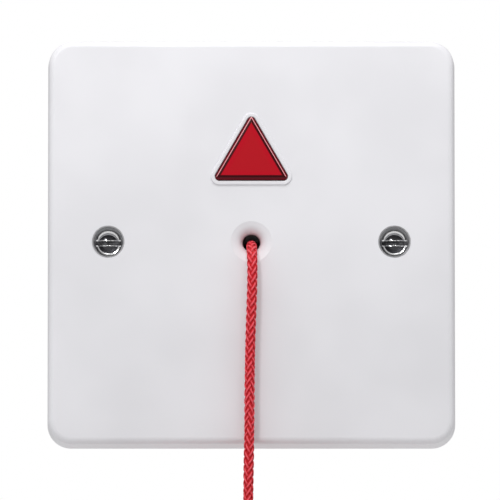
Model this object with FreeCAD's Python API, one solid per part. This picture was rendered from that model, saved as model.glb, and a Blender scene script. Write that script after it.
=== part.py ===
import FreeCAD, Part
import math
import os

# Emergency pull cord alarm for an accessible washroom: a white wall plate on two screws, a red
# triangular indicator, and a red braided cord. The cord pulls a sprung plunger, whose tab presses
# the lever of a microswitch on the circuit board behind the plate.
#
# Millimetres. The origin is midway between the fixing screws, in the wall plane. +Z is up, +X is
# to the right seen from the room, -Y points out of the wall into the room.

V = FreeCAD.Vector

# Face plate
PLATE_W = 86.0
PLATE_H = 86.0
PLATE_DEPTH = 8.3  # from the wall to the middle of the face
PLATE_CORNER_R = 5.0
PLATE_DRAFT = 0.35  # each side leans in by this much from the rim to the face
CROWN_R = 2000.0  # the face is a very shallow dome
FACE_EDGE_R = 1.3
FACE_WALL = 2.2
SIDE_WALL = 2.0
RIB_T = 1.2
RIB_H = 2.5
RIB_X = 14.0

# Cord hole in the face
HOLE_R = 1.87
FUNNEL_R = 4.35
FUNNEL_LIP_R = 2.45
FUNNEL_LIP_TURN = 72.0  # degrees that the lip's round covers before it runs out straight
HOLE_BOSS_WALL = 1.8
HOLE_BOSS_H = 1.5

# Fixings
FIXING_CENTRES = 60.3
LUG_R = 5.4
LUG_SHY = 0.3  # the lugs stop short of the wall
EYELET_R = 3.43
EYELET_MOUTH_R = 3.15
EYELET_LENGTH = 5.0
HEAD_SINK = 3.0
HEAD_R = 2.75
HEAD_RISE = 0.6
SLOT_W = 0.9
SLOT_DEPTH = 0.85
NECK_R = 1.55
NECK_CLEARANCE = 0.45
THREAD_R = 1.75
SCREW_REACH = 22.0  # how far the screw stands out behind the wall plane
SCREW_TIP = 0.5

# Indicator
LENS_Z = 17.73  # the middle of the triangle
LENS_INRADIUS = 4.7
LENS_CORNER_R = 0.8
LENS_BEVEL = 0.95
LENS_RISE = 0.55  # how far the lens stands out of its lip
LENS_SIDE = 0.05  # upright side of the lens above its lip
LENS_TOP_CORNER_R = 0.15
LENS_GAP = 0.1
LENS_FLANGE = 1.5
LENS_FLANGE_T = 1.3
LIP_W = 0.95
LIP_RISE = 0.35
LIP_EDGE_R = 0.3
SHROUD_WALL = 1.1
LED_R = 1.5
LED_LENGTH = 5.3
LED_FLANGE_R = 1.9
LED_FLANGE_T = 1.0
LED_LEAD = 0.5
LED_LEAD_PITCH = 2.54

# Circuit board
BOARD_W = 50.0
BOARD_TOP = 28.0
BOARD_BOTTOM = -32.0
BOARD_T = 1.6
BOARD_Y = 3.0  # its front side, behind the wall plane
BOARD_CORNER_R = 2.0
POST_X = 21.0
POST_INSET = 4.0  # the posts' distance from the board's top and bottom
POST_R = 2.8
POST_HOLE_R = 1.0
POST_HOLE_DEPTH = 6.0
BOARD_SCREW_R = 0.95
BOARD_SCREW_LENGTH = 6.5
BOARD_SCREW_HEAD_R = 2.5
BOARD_SCREW_HEAD_H = 1.7
BOARD_HOLE_PLAY = 0.3
LEAD_OUT = 1.0
LEAD_PLAY = 0.1

# Guide housing
TUBE_R = 8.0
CHAMBER_R = 6.3
CUP_R = 5.6
FLOOR_Y = 5.5
FLOOR_T = 2.5
HOUSING_REAR = 13.0
FLANGE_R = 10.8
FLANGE_T = 2.0
SOCKET_PLAY = 0.1
SOCKET_WALL = 1.4
SOCKET_H = 4.1
TUBE_PLAY = 0.3

# Plunger
TRAVEL = 3.5
STEM_R = 3.0
STEM_FLAT = 2.5  # half the width across the stem's two flats
STEM_PLAY = 0.15
STEM_FRONT_Y = 2.5
STEM_BORE_R = 1.3
COLLAR_R = 6.5
COLLAR_T = 2.0
TAB_W = 5.0
TAB_DROP = 10.3
TAB_NOSE_R = 0.8
POCKET_R = 2.9
POCKET_WALL = 1.3
POCKET_DEPTH = 2.8
POCKET_FLOOR = 1.2
CLIP_T = 0.7
CLIP_R = 4.8
CLIP_WEB = 1.4
CLIP_LUG_W = 1.6
CLIP_MOUTH = 3.6
GROOVE_R = 2.2
GROOVE_PLAY = 0.05
SPRING_R = 5.0
SPRING_WIRE_R = 0.4
SPRING_TURNS = 6.0
SPRING_PLAY = 0.04

# Microswitch
SWITCH_W = 6.4
SWITCH_H = 10.2
SWITCH_TOP = -10.2
SWITCH_LENGTH = 19.8
SWITCH_HOLE_R = 1.2
SWITCH_HOLE_Y = 2.6  # above the board
SWITCH_HOLE_INSET = 5.15
LUG_EAR_T = 1.25
LUG_EAR_LENGTH = 3.0
PIVOT_INSET = 1.5
PIVOT_RISE = 0.95
PIN_R = 0.4
LEVER_T = 0.3
LEVER_W = 3.2
LEVER_REACH = 20.0  # from the pivot to where the tab bears
LEVER_END = 19.7
BARREL_PLAY = 0.08
STRIKE_GAP = 0.3
BUTTON_R = 0.9
BUTTON_PLAY = 0.15
BUTTON_LENGTH = 3.5
BUTTON_FROM_PIVOT = 5.0
BUTTON_GAP = 0.33
SWITCH_PIN_W = 0.9
SWITCH_PIN_T = 0.5
SWITCH_PIN_PITCH = 7.6

# Terminal block
WAYS = 4
WAY_PITCH = 5.0
BLOCK_X = -24.5
BLOCK_W = 8.0
BLOCK_H = 10.0
BLOCK_BOTTOM = -23.0
BLOCK_END_WALL = 0.25
BLOCK_SLOPE = 1.7
ENTRY = 3.2
ENTRY_RISE = 1.8
ENTRY_DEPTH = 6.0
WELL_R = 1.9
WELL_DEPTH = 4.2
WELL_X = 4.1  # from the wire side
TERMINAL_SCREW_HEAD_R = 1.7
TERMINAL_SCREW_HEAD_H = 1.6
TERMINAL_SCREW_R = 0.9
CLAMP_PLAY = 0.15
CLAMP_WALL = 0.4

# Small components
RESISTOR_X = 16.0
RESISTOR_Z = (5.0, 8.5, 12.0)
RESISTOR_R = 1.15
RESISTOR_LENGTH = 6.3
DIODE_X = -16.0
DIODE_Z = 8.5
DIODE_R = 1.35
DIODE_LENGTH = 5.0
LEAD_R = 0.3
LEAD_SPAN = 9.6
LEAD_LIFT = 0.3
CAPACITOR_X = 17.0
CAPACITOR_Z = -15.0
CAPACITOR_R = 4.0
CAPACITOR_H = 12.0

# Cord and what is on it
CORD_R = 1.05
HANG_X = -0.7  # where the cord hangs below the plate
HANG_Y = -11.0
HANK_TOP = -61.0
HANK_RUN = 31.5
HANK_COLUMNS = 4
HANK_ROWS = 6  # of turns, three each side of the cord that enters in the middle
HANK_LOOP_R = 5.25  # of the innermost turns
HANK_PINCH = 4.2
HANK_FLAT = 0.3
HANK_EDGE_R = 2.0
TIE_W = 4.0
TIE_T = 0.8
PULL_GAP = 10.0
PULL_INRADIUS = 17.0
PULL_CORNER_R = 7.0
PULL_BAR = 6.5
PULL_INNER_CORNER_R = 2.0
PULL_T = 6.0
PULL_EDGE_R = 1.6
PULL_BORE_R = 1.35
PULL_SEAT_DEPTH = 1.2
KNOT_R = 2.5
KNOT_LENGTH = 4.6
KNOT_PLAY = 0.12

# Places that follow from the sizes
FACE_BACK = FACE_WALL - PLATE_DEPTH
BOARD_REAR = BOARD_Y + BOARD_T
FLOOR_REAR = FLOOR_Y + FLOOR_T
SWITCH_REAR = BOARD_REAR + SWITCH_H
PIVOT_Y = SWITCH_REAR + PIVOT_RISE
PIVOT_Z = SWITCH_TOP - SWITCH_LENGTH + PIVOT_INSET
LEVER_ANGLE = math.degrees(TRAVEL / LEVER_REACH)
COLLAR_Y = PIVOT_Y + LEVER_T / 2 + STRIKE_GAP + TRAVEL
POCKET_REAR = COLLAR_Y + POCKET_FLOOR + POCKET_DEPTH
HANK_HALF_W = HANK_LOOP_R + (2 * HANK_COLUMNS - 1) * CORD_R
HANK_DEPTH = (HANK_ROWS + 1) * 2 * CORD_R
HANK_Z = HANK_TOP - HANK_HALF_W + HANK_FLAT - HANK_RUN / 2
HANK_BOTTOM = 2 * HANK_Z - HANK_TOP
PULL_APEX = 2 * (PULL_INRADIUS - PULL_CORNER_R) + PULL_CORNER_R
UPPER_PULL_Z = HANK_BOTTOM - PULL_GAP - PULL_APEX
LOWER_PULL_Z = UPPER_PULL_Z - PULL_INRADIUS - PULL_GAP - PULL_APEX


def face_y(x, z):
    """The y of the domed face above this point of the wall."""
    return CROWN_R - PLATE_DEPTH - math.sqrt(CROWN_R**2 - x**2 - z**2)


LIP_Y = face_y(0, LENS_Z) - LIP_RISE
LENS_FRONT_Y = LIP_Y - LENS_RISE

# The cord's route from the knot in the plunger, through the funnel and down past the plate to the
# hank. Its runs shorten towards the bend over the funnel's lip.
CORD_ROUTE = [
    V(0.0, COLLAR_Y + POCKET_FLOOR, 0.0),
    V(0.0, 9.6, 0.0),
    V(0.0, 2.2, -0.08),
    V(0.0, -2.6, -0.24),
    V(0.03, -6.1, -0.52),
    V(0.1, -8.9, -1.75),
    V(0.18, -10.6, -3.9),
    V(0.24, -11.05, -6.9),
    V(0.12, -11.1, -11.9),
    V(-0.2, -11.0, -20.5),
    V(-0.38, -11.1, -30.5),
    V(-0.42, -11.05, -40.5),
    V(-0.62, -10.95, -50.8),
    V(HANG_X, HANG_Y, HANK_TOP),
]


# Shapes


def box(x, y, z):
    """A block between two values along each axis."""
    return Part.makeBox(x[1] - x[0], y[1] - y[0], z[1] - z[0], V(x[0], y[0], z[0]))


def rod(radius, start, end, x=0.0, z=0.0):
    """A cylinder along Y."""
    return Part.makeCylinder(radius, end - start, V(x, start, z), V(0, 1, 0))


def ring(outer, inner, start, end, x=0.0, z=0.0):
    return rod(outer, start, end, x, z).cut(rod(inner, start, end, x, z))


def turned(outline, x=0.0, z=0.0):
    """A solid turned round the line along Y through (x, z), from a closed outline of edges in the
    half plane of radius and y."""
    face = Part.Face(Part.Wire(outline))
    solid = face.revolve(V(0, 0, 0), V(0, 1, 0), 360)
    solid.translate(V(x, 0, z))
    return solid


def lines(points):
    """Straight edges through points of radius and y."""
    corners = [V(r, y, 0) for r, y in points]
    return [Part.makeLine(a, b) for a, b in zip(corners, corners[1:])]


def outline(corners, radius, y):
    """The wire in the plane at y that keeps this radius off a convex polygon of (x, z) corners,
    which run from +X towards +Z."""
    edges = []
    for before, here, after in zip(corners[-1:] + corners[:-1], corners, corners[1:] + corners[:1]):
        side_in = outward(before, here) * radius
        side_out = outward(here, after) * radius
        middle = (side_in + side_out).normalize() * radius
        centre = V(here[0], y, here[1])
        next_centre = V(after[0], y, after[1])
        edges.append(Part.Arc(centre + side_in, centre + middle, centre + side_out).toShape())
        edges.append(Part.makeLine(centre + side_out, next_centre + side_out))
    return Part.Wire(edges)


def outward(a, b):
    return V(b[1] - a[1], 0, a[0] - b[0]).normalize()


def rectangle(half_x, half_z, radius, y, z=0.0):
    x, h = half_x - radius, half_z - radius
    return outline([(x, z - h), (x, z + h), (-x, z + h), (-x, z - h)], radius, y)


def triangle(inradius, radius, y, x=0.0, z=0.0):
    """A rounded equilateral triangle, apex up, whose sides lie at inradius from its middle."""
    core = inradius - radius
    half = core * math.sqrt(3)
    return outline([(x + half, z - core), (x, z + 2 * core), (x - half, z - core)], radius, y)


def prism(wire, depth):
    return Part.Face(wire).extrude(V(0, depth, 0))


def edges_at(shape, y):
    """The edges that lie in the plane at y."""
    return [e for e in shape.Edges if abs(e.BoundBox.YMin - y) + abs(e.BoundBox.YMax - y) < 1e-4]


def joined(first, *others):
    return first.fuse(list(others)).removeSplitter()


# The face plate and what is fixed in it


def fixing_x(side):
    return side * FIXING_CENTRES / 2


def post_places():
    top, bottom = BOARD_TOP - POST_INSET, BOARD_BOTTOM + POST_INSET
    return [(-POST_X, top), (POST_X, top), (-POST_X, bottom), (POST_X, bottom)]


def plate_shell():
    """The plate's outside, drafted and domed, hollow behind."""
    rim = rectangle(PLATE_W / 2, PLATE_H / 2, PLATE_CORNER_R, 0)
    front = rectangle(PLATE_W / 2 - PLATE_DRAFT, PLATE_H / 2 - PLATE_DRAFT, PLATE_CORNER_R, -PLATE_DEPTH)
    block = Part.makeLoft([rim, front], True, True)
    crown = Part.makeSphere(CROWN_R, V(0, CROWN_R - PLATE_DEPTH, 0))
    block = block.common(crown)
    front_edges = [e for e in block.Edges if e.BoundBox.YMax < FACE_BACK]
    block = block.makeFillet(FACE_EDGE_R, front_edges)
    hollow = rectangle(
        PLATE_W / 2 - SIDE_WALL, PLATE_H / 2 - SIDE_WALL, PLATE_CORNER_R - SIDE_WALL, FACE_BACK
    )
    return block.cut(prism(hollow, PLATE_DEPTH))


def lens_lip():
    """The raised lip round the indicator's window."""
    inner = LENS_INRADIUS + LENS_GAP
    depth = FACE_BACK - LIP_Y
    outside = triangle(inner + LIP_W, LENS_CORNER_R + LENS_GAP + LIP_W, LIP_Y, 0, LENS_Z)
    window = triangle(inner, LENS_CORNER_R + LENS_GAP, LIP_Y, 0, LENS_Z)
    lip = prism(outside, depth).cut(prism(window, depth))
    return lip.makeFillet(LIP_EDGE_R, edges_at(lip, LIP_Y))


def plate_ribs():
    inner_x, inner_z = PLATE_W / 2 - SIDE_WALL, PLATE_H / 2 - SIDE_WALL
    y = (FACE_BACK, FACE_BACK + RIB_H)
    half = RIB_T / 2
    upright = [box((x - half, x + half), y, (-inner_z, inner_z)) for x in (-RIB_X, RIB_X)]
    level = [box((a, b), y, (-half, half)) for a, b in ((-inner_x, -TUBE_R), (TUBE_R, inner_x))]
    return upright + level


def funnel():
    """The cutter of the cord hole: a bore that opens to the face over a rounded lip."""
    turn = math.radians(FUNNEL_LIP_TURN)
    lip_end_r = HOLE_R + FUNNEL_LIP_R * (1 - math.cos(turn))
    slope = math.cos(turn) / math.sin(turn)
    lip_end_y = -PLATE_DEPTH + (FUNNEL_R - lip_end_r) * slope
    bore_y = lip_end_y + FUNNEL_LIP_R * math.sin(turn)
    half = turn / 2
    lip_mid = V(
        HOLE_R + FUNNEL_LIP_R * (1 - math.cos(half)), bore_y - FUNNEL_LIP_R * math.sin(half), 0
    )
    overshoot = 1.0
    mouth = (FUNNEL_R + overshoot, -PLATE_DEPTH - overshoot * slope)
    lip = Part.Arc(V(lip_end_r, lip_end_y, 0), lip_mid, V(HOLE_R, bore_y, 0)).toShape()
    return turned(
        lines([(0, 0), (0, mouth[1]), mouth, (lip_end_r, lip_end_y)])
        + [lip]
        + lines([(HOLE_R, bore_y), (HOLE_R, 0), (0, 0)])
    )


def make_faceplate():
    window = triangle(
        LENS_INRADIUS + LENS_GAP, LENS_CORNER_R + LENS_GAP, -PLATE_DEPTH - LIP_RISE, 0, LENS_Z
    )
    socket_inner = TUBE_R + SOCKET_PLAY
    socket = ring(socket_inner + SOCKET_WALL, socket_inner, FACE_BACK, FACE_BACK + SOCKET_H)
    hole_boss = rod(HOLE_R + HOLE_BOSS_WALL, FACE_BACK, FACE_BACK + HOLE_BOSS_H)
    lugs = [rod(LUG_R, FACE_BACK, -LUG_SHY, fixing_x(side)) for side in (-1, 1)]
    posts = [rod(POST_R, FACE_BACK, BOARD_Y, x, z) for x, z in post_places()]
    plate = joined(plate_shell(), lens_lip(), socket, hole_boss, *plate_ribs(), *lugs, *posts)
    cutters = [prism(window, PLATE_DEPTH), funnel()]
    for side in (-1, 1):
        x = fixing_x(side)
        face = face_y(x, 0)
        cutters.append(rod(EYELET_R, face - 1, face + EYELET_LENGTH, x))
        cutters.append(rod(NECK_R + NECK_CLEARANCE, face, 0, x))
    for x, z in post_places():
        cutters.append(rod(POST_HOLE_R, BOARD_Y - POST_HOLE_DEPTH, BOARD_Y, x, z))
    return plate.cut(cutters)


def make_eyelet(side):
    """A turned metal ferrule: a slightly conical wall down to a countersunk seat."""
    x = fixing_x(side)
    face = face_y(x, 0)
    seat_gap = 0.05
    wall_r = HEAD_R + 0.1
    seat_y = face + HEAD_SINK + seat_gap - (wall_r - HEAD_R)
    bore_r = NECK_R + NECK_CLEARANCE
    return turned(
        lines(
            [
                (EYELET_MOUTH_R, face),
                (EYELET_R, face),
                (EYELET_R, face + EYELET_LENGTH),
                (bore_r, face + EYELET_LENGTH),
                (bore_r, seat_y + wall_r - bore_r),
                (wall_r, seat_y),
                (EYELET_MOUTH_R, face),
            ]
        ),
        x,
    )


def make_fixing_screw(side):
    """A slotted screw with a raised countersunk head. Its neck is thinner than its thread."""
    x = fixing_x(side)
    rim_y = face_y(x, 0) + HEAD_SINK
    top_y = rim_y - HEAD_RISE
    dome_r = (HEAD_R**2 + HEAD_RISE**2) / (2 * HEAD_RISE)
    half = math.asin(HEAD_R / dome_r) / 2
    dome_mid = V(dome_r * math.sin(half), top_y + dome_r * (1 - math.cos(half)), 0)
    dome = Part.Arc(V(0, top_y, 0), dome_mid, V(HEAD_R, rim_y, 0)).toShape()
    screw = turned(
        [dome]
        + lines(
            [
                (HEAD_R, rim_y),
                (NECK_R, rim_y + HEAD_R - NECK_R),
                (NECK_R, -LUG_SHY),
                (THREAD_R, -LUG_SHY),
                (THREAD_R, SCREW_REACH - SCREW_TIP),
                (THREAD_R - SCREW_TIP, SCREW_REACH),
                (0, SCREW_REACH),
                (0, top_y),
            ]
        ),
        x,
    )
    slot = box((x - HEAD_R, x + HEAD_R), (top_y - 1, top_y + SLOT_DEPTH), (-SLOT_W / 2, SLOT_W / 2))
    return screw.cut(slot)


# The indicator


def make_lens():
    """A bevelled triangular button of clear red plastic with a flange behind the plate."""
    side_y = LIP_Y - LENS_SIDE
    body = prism(triangle(LENS_INRADIUS, LENS_CORNER_R, FACE_BACK, 0, LENS_Z), side_y - FACE_BACK)
    bevel = Part.makeLoft(
        [
            triangle(LENS_INRADIUS, LENS_CORNER_R, side_y, 0, LENS_Z),
            triangle(LENS_INRADIUS - LENS_BEVEL, LENS_TOP_CORNER_R, LENS_FRONT_Y, 0, LENS_Z),
        ],
        True,
        True,
    )
    flange = triangle(
        LENS_INRADIUS + LENS_FLANGE, LENS_CORNER_R + LENS_FLANGE, FACE_BACK, 0, LENS_Z
    )
    return joined(body, bevel, prism(flange, LENS_FLANGE_T))


def make_shroud():
    """The tube between the lens and the board that keeps the indicator's light in."""
    start = FACE_BACK + LENS_FLANGE_T
    depth = BOARD_Y - start
    outer = LENS_INRADIUS + LENS_FLANGE
    corner = LENS_CORNER_R + LENS_FLANGE
    outside = prism(triangle(outer, corner, start, 0, LENS_Z), depth)
    return outside.cut(prism(triangle(outer - SHROUD_WALL, corner - SHROUD_WALL, start, 0, LENS_Z), depth))


def led_lead_places():
    return [-LED_LEAD_PITCH / 2, LED_LEAD_PITCH / 2]


def make_led():
    tip = BOARD_Y - LED_LENGTH
    body = rod(LED_R, tip + LED_R, BOARD_Y, 0, LENS_Z)
    dome = Part.makeSphere(LED_R, V(0, tip + LED_R, LENS_Z))
    flange = rod(LED_FLANGE_R, BOARD_Y - LED_FLANGE_T, BOARD_Y, 0, LENS_Z)
    half = LED_LEAD / 2
    leads = [
        box((x - half, x + half), (BOARD_Y - half, BOARD_REAR + LEAD_OUT), (LENS_Z - half, LENS_Z + half))
        for x in led_lead_places()
    ]
    return joined(body, dome, flange, *leads)


# The circuit board and what stands on it


def make_circuit_board():
    height = BOARD_TOP - BOARD_BOTTOM
    middle = (BOARD_TOP + BOARD_BOTTOM) / 2
    board = prism(rectangle(BOARD_W / 2, height / 2, BOARD_CORNER_R, BOARD_Y, middle), BOARD_T)
    cutters = [rod(TUBE_R + TUBE_PLAY, BOARD_Y, BOARD_REAR)]
    for x, z in post_places():
        cutters.append(rod(BOARD_SCREW_R + BOARD_HOLE_PLAY, BOARD_Y, BOARD_REAR, x, z))
    half = LED_LEAD / 2 + LEAD_PLAY
    for x in led_lead_places():
        cutters.append(box((x - half, x + half), (BOARD_Y, BOARD_REAR), (LENS_Z - half, LENS_Z + half)))
    for z in switch_pin_places():
        cutters.append(switch_pin_block(z, LEAD_PLAY, BOARD_Y, BOARD_REAR))
    return board.cut(cutters)


def make_board_screw(x, z):
    """A pan head screw from behind, with a crossed recess."""
    head_y = BOARD_REAR + BOARD_SCREW_HEAD_H
    head = rod(BOARD_SCREW_HEAD_R, BOARD_REAR, head_y, x, z)
    head = head.makeFillet(BOARD_SCREW_HEAD_H / 3, edges_at(head, head_y))
    shank = rod(BOARD_SCREW_R, BOARD_REAR - BOARD_SCREW_LENGTH, BOARD_REAR, x, z)
    arm, half, sink = BOARD_SCREW_HEAD_R * 0.6, BOARD_SCREW_HEAD_R * 0.12, BOARD_SCREW_HEAD_H / 2
    across = box((x - arm, x + arm), (head_y - sink, head_y), (z - half, z + half))
    upright = box((x - half, x + half), (head_y - sink, head_y), (z - arm, z + arm))
    return joined(head, shank).cut([across, upright])


def make_guide_housing():
    """The plunger's guide: a chamber in front of its floor, the spring's cup behind it, and a
    flange that the board holds against the plate."""
    tube = rod(TUBE_R, FACE_BACK, HOUSING_REAR)
    flange = rod(FLANGE_R, BOARD_Y - FLANGE_T, BOARD_Y)
    chamber = rod(CHAMBER_R, FACE_BACK, FLOOR_Y)
    cup = rod(CUP_R, FLOOR_REAR, HOUSING_REAR)
    stem_hole = double_d(STEM_R + STEM_PLAY, STEM_FLAT + STEM_PLAY, FLOOR_Y, FLOOR_REAR)
    return joined(tube, flange).cut([chamber, cup, stem_hole])


def double_d(radius, flat, start, end):
    """A round bar along Y with two flats at x = -flat and x = flat."""
    return rod(radius, start, end).common(box((-flat, flat), (start, end), (-radius, radius)))


def make_terminal_block():
    """Screw terminals in a row, with square wire entries towards -X and screws from behind."""
    x0, x1 = BLOCK_X, BLOCK_X + BLOCK_W
    y0, y1 = BOARD_REAR, BOARD_REAR + BLOCK_H
    z0 = BLOCK_BOTTOM
    length = WAYS * WAY_PITCH + 2 * BLOCK_END_WALL
    profile = [
        (x0, y0),
        (x1, y0),
        (x1, y1 - BLOCK_SLOPE),
        (x1 - BLOCK_SLOPE / 2, y1),
        (x0 + BLOCK_SLOPE, y1),
        (x0, y1 - BLOCK_SLOPE),
        (x0, y0),
    ]
    face = Part.Face(Part.makePolygon([V(x, y, z0) for x, y in profile]))
    block = face.extrude(V(0, 0, length))
    cutters = []
    for z in way_places():
        half = ENTRY / 2
        entry_y = (y0 + ENTRY_RISE, y0 + ENTRY_RISE + ENTRY)
        cutters.append(box((x0, x0 + ENTRY_DEPTH), entry_y, (z - half, z + half)))
        cutters.append(rod(WELL_R, y1 - WELL_DEPTH, y1, x0 + WELL_X, z))
        cutters.append(rod(TERMINAL_SCREW_R + CLAMP_PLAY, entry_y[0], y1, x0 + WELL_X, z))
    return block.cut(cutters)


def way_places():
    first = BLOCK_BOTTOM + BLOCK_END_WALL + WAY_PITCH / 2
    return [first + i * WAY_PITCH for i in range(WAYS)]


def make_terminal_screw(z):
    seat_y = BOARD_REAR + BLOCK_H - WELL_DEPTH
    x = BLOCK_X + WELL_X
    head_y = seat_y + TERMINAL_SCREW_HEAD_H
    head = rod(TERMINAL_SCREW_HEAD_R, seat_y, head_y, x, z)
    shank_end = BOARD_REAR + ENTRY_RISE + ENTRY - CLAMP_PLAY
    shank = rod(TERMINAL_SCREW_R, shank_end, seat_y, x, z)
    half, sink = TERMINAL_SCREW_HEAD_R / 5, TERMINAL_SCREW_HEAD_H / 2
    reach = TERMINAL_SCREW_HEAD_R
    slot = box((x - half, x + half), (head_y - sink, head_y), (z - reach, z + reach))
    return joined(head, shank).cut(slot)


def make_wire_clamp(z):
    """A square metal cage in the entry, open towards the wire."""
    half = ENTRY / 2 - CLAMP_PLAY
    x = (BLOCK_X + CLAMP_PLAY + BLOCK_SLOPE / 2, BLOCK_X + ENTRY_DEPTH)
    y0 = BOARD_REAR + ENTRY_RISE + CLAMP_PLAY / 2
    y1 = BOARD_REAR + ENTRY_RISE + ENTRY - 2 * CLAMP_PLAY
    cage = box(x, (y0, y1), (z - half, z + half))
    inside = half - CLAMP_WALL
    return cage.cut(box(x, (y0 + CLAMP_WALL, y1 - CLAMP_WALL), (z - inside, z + inside)))


def make_axial_component(x, z, radius, length):
    """A resistor or diode lying along X, its leads bent down to the board."""
    y = BOARD_REAR + radius + LEAD_LIFT
    half = LEAD_SPAN / 2
    body = Part.makeCylinder(radius, length, V(x - length / 2, y, z), V(1, 0, 0))
    body = body.makeFillet(radius / 3, [e for e in body.Edges if len(e.Vertexes) == 1])
    wire = Part.makeCylinder(LEAD_R, LEAD_SPAN, V(x - half, y, z), V(1, 0, 0))
    legs = [rod(LEAD_R, BOARD_REAR, y, x + side * half, z) for side in (-1, 1)]
    bends = [Part.makeSphere(LEAD_R, V(x + side * half, y, z)) for side in (-1, 1)]
    return joined(body, wire, *legs, *bends)


def make_capacitor():
    """An upright can with a rolled groove near its foot."""
    top = BOARD_REAR + CAPACITOR_H
    can = rod(CAPACITOR_R, BOARD_REAR, top, CAPACITOR_X, CAPACITOR_Z)
    can = can.makeFillet(CAPACITOR_R / 8, edges_at(can, top))
    groove_y = BOARD_REAR + CAPACITOR_H / 5
    width = CAPACITOR_R / 6
    groove = Part.makeTorus(CAPACITOR_R + width / 2, width, V(CAPACITOR_X, groove_y, CAPACITOR_Z), V(0, 1, 0))
    return can.cut(groove)


# The microswitch


def make_switch_body():
    half = SWITCH_W / 2
    bottom = SWITCH_TOP - SWITCH_LENGTH
    body = box((-half, half), (BOARD_REAR, SWITCH_REAR), (bottom, SWITCH_TOP))
    body = body.makeChamfer(0.4, [e for e in body.Edges if e.BoundBox.XLength > SWITCH_W / 2])
    ear_y = (SWITCH_REAR - LUG_EAR_T, PIVOT_Y + 2 * PIN_R)
    ear_z = (PIVOT_Z - LUG_EAR_LENGTH / 2 + PIN_R, PIVOT_Z + LUG_EAR_LENGTH / 2)
    ears = [box((a, b), ear_y, ear_z) for a, b in ((-half, LUG_EAR_T - half), (half - LUG_EAR_T, half))]
    pin = Part.makeCylinder(PIN_R, SWITCH_W, V(-half, PIVOT_Y, PIVOT_Z), V(1, 0, 0))
    button_bottom = button_top() - BUTTON_LENGTH - travel_of_button() - 2 * BUTTON_PLAY
    cutters = [rod(BUTTON_R + BUTTON_PLAY, button_bottom, SWITCH_REAR, 0, PIVOT_Z + BUTTON_FROM_PIVOT)]
    for z in (SWITCH_TOP - SWITCH_HOLE_INSET, bottom + SWITCH_HOLE_INSET):
        start = V(-half, BOARD_REAR + SWITCH_HOLE_Y, z)
        cutters.append(Part.makeCylinder(SWITCH_HOLE_R, SWITCH_W, start, V(1, 0, 0)))
    return joined(body, pin, *ears).cut(cutters)


def switch_pin_places():
    middle = SWITCH_TOP - SWITCH_LENGTH / 2
    return [middle - SWITCH_PIN_PITCH, middle, middle + SWITCH_PIN_PITCH]


def switch_pin_block(z, play, start, end):
    w, t = SWITCH_PIN_W / 2 + play, SWITCH_PIN_T / 2 + play
    return box((-t, t), (start, end), (z - w, z + w))


def make_switch_pin(z):
    return switch_pin_block(z, 0, BOARD_Y - LEAD_OUT, BOARD_REAR)


def travel_of_button():
    return TRAVEL * BUTTON_FROM_PIVOT / LEVER_REACH


def button_top():
    """The button's top under the lever at rest."""
    angle = math.radians(LEVER_ANGLE)
    lever_y = PIVOT_Y + BUTTON_FROM_PIVOT * math.tan(angle) - LEVER_T / 2 / math.cos(angle)
    return lever_y - BUTTON_GAP


def make_button():
    top = button_top()
    button = rod(BUTTON_R, top - BUTTON_LENGTH, top, 0, PIVOT_Z + BUTTON_FROM_PIVOT)
    return button.makeFillet(BUTTON_R / 2, edges_at(button, top))


def make_lever():
    """A spring steel strip rolled round the switch's pin, lifted off the button at rest."""
    half = LEVER_W / 2
    bore_r = PIN_R + BARREL_PLAY
    start, along = V(-half, PIVOT_Y, PIVOT_Z), V(1, 0, 0)
    barrel = Part.makeCylinder(bore_r + LEVER_T, LEVER_W, start, along)
    strip = box((-half, half), (PIVOT_Y - LEVER_T / 2, PIVOT_Y + LEVER_T / 2), (PIVOT_Z, PIVOT_Z + LEVER_END))
    tip = [e for e in strip.Edges if e.BoundBox.ZMin > PIVOT_Z + 1 and e.BoundBox.YLength > LEVER_T / 2]
    strip = strip.makeFillet(LEVER_W / 4, tip)
    lever = joined(barrel, strip).cut(Part.makeCylinder(bore_r, LEVER_W, start, along))
    lever.rotate(V(0, PIVOT_Y, PIVOT_Z), V(1, 0, 0), -LEVER_ANGLE)
    return lever


# The plunger and its cord


def make_plunger():
    stem = double_d(STEM_R, STEM_FLAT, STEM_FRONT_Y, COLLAR_Y)
    collar = rod(COLLAR_R, COLLAR_Y, COLLAR_Y + COLLAR_T)
    pocket_boss = rod(POCKET_R + POCKET_WALL, COLLAR_Y, POCKET_REAR)
    tab = box((-TAB_W / 2, TAB_W / 2), (COLLAR_Y, COLLAR_Y + COLLAR_T), (-TAB_DROP, 0))
    nose = [e for e in edges_at(tab, COLLAR_Y) if e.BoundBox.ZMax < -TAB_DROP + 0.1]
    tab = tab.makeFillet(TAB_NOSE_R, nose)
    bore = rod(STEM_BORE_R, STEM_FRONT_Y, COLLAR_Y + POCKET_FLOOR)
    pocket = rod(POCKET_R, COLLAR_Y + POCKET_FLOOR, POCKET_REAR)
    groove_y = FLOOR_Y - CLIP_T - GROOVE_PLAY
    groove = ring(STEM_R, GROOVE_R, groove_y, FLOOR_Y)
    return joined(stem, collar, pocket_boss, tab).cut([bore, pocket, groove])


def make_retaining_clip():
    """An open clip whose three lugs grip the groove of the stem, resting on the housing's floor."""
    start = FLOOR_Y - CLIP_T
    core = GROOVE_R + GROOVE_PLAY
    clip = ring(CLIP_R, CLIP_R - CLIP_WEB, start, FLOOR_Y)
    half = CLIP_LUG_W / 2
    y = (start, FLOOR_Y)
    reach = CLIP_R - CLIP_WEB / 2
    lugs = [
        box((-half, half), y, (core / 2, reach)),
        box((-reach, -core / 2), y, (-half, half)),
        box((core / 2, reach), y, (-half, half)),
    ]
    mouth = box((-CLIP_MOUTH / 2, CLIP_MOUTH / 2), y, (-CLIP_R, -core))
    return joined(clip, *lugs).cut([rod(core, start, FLOOR_Y), mouth])


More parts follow.
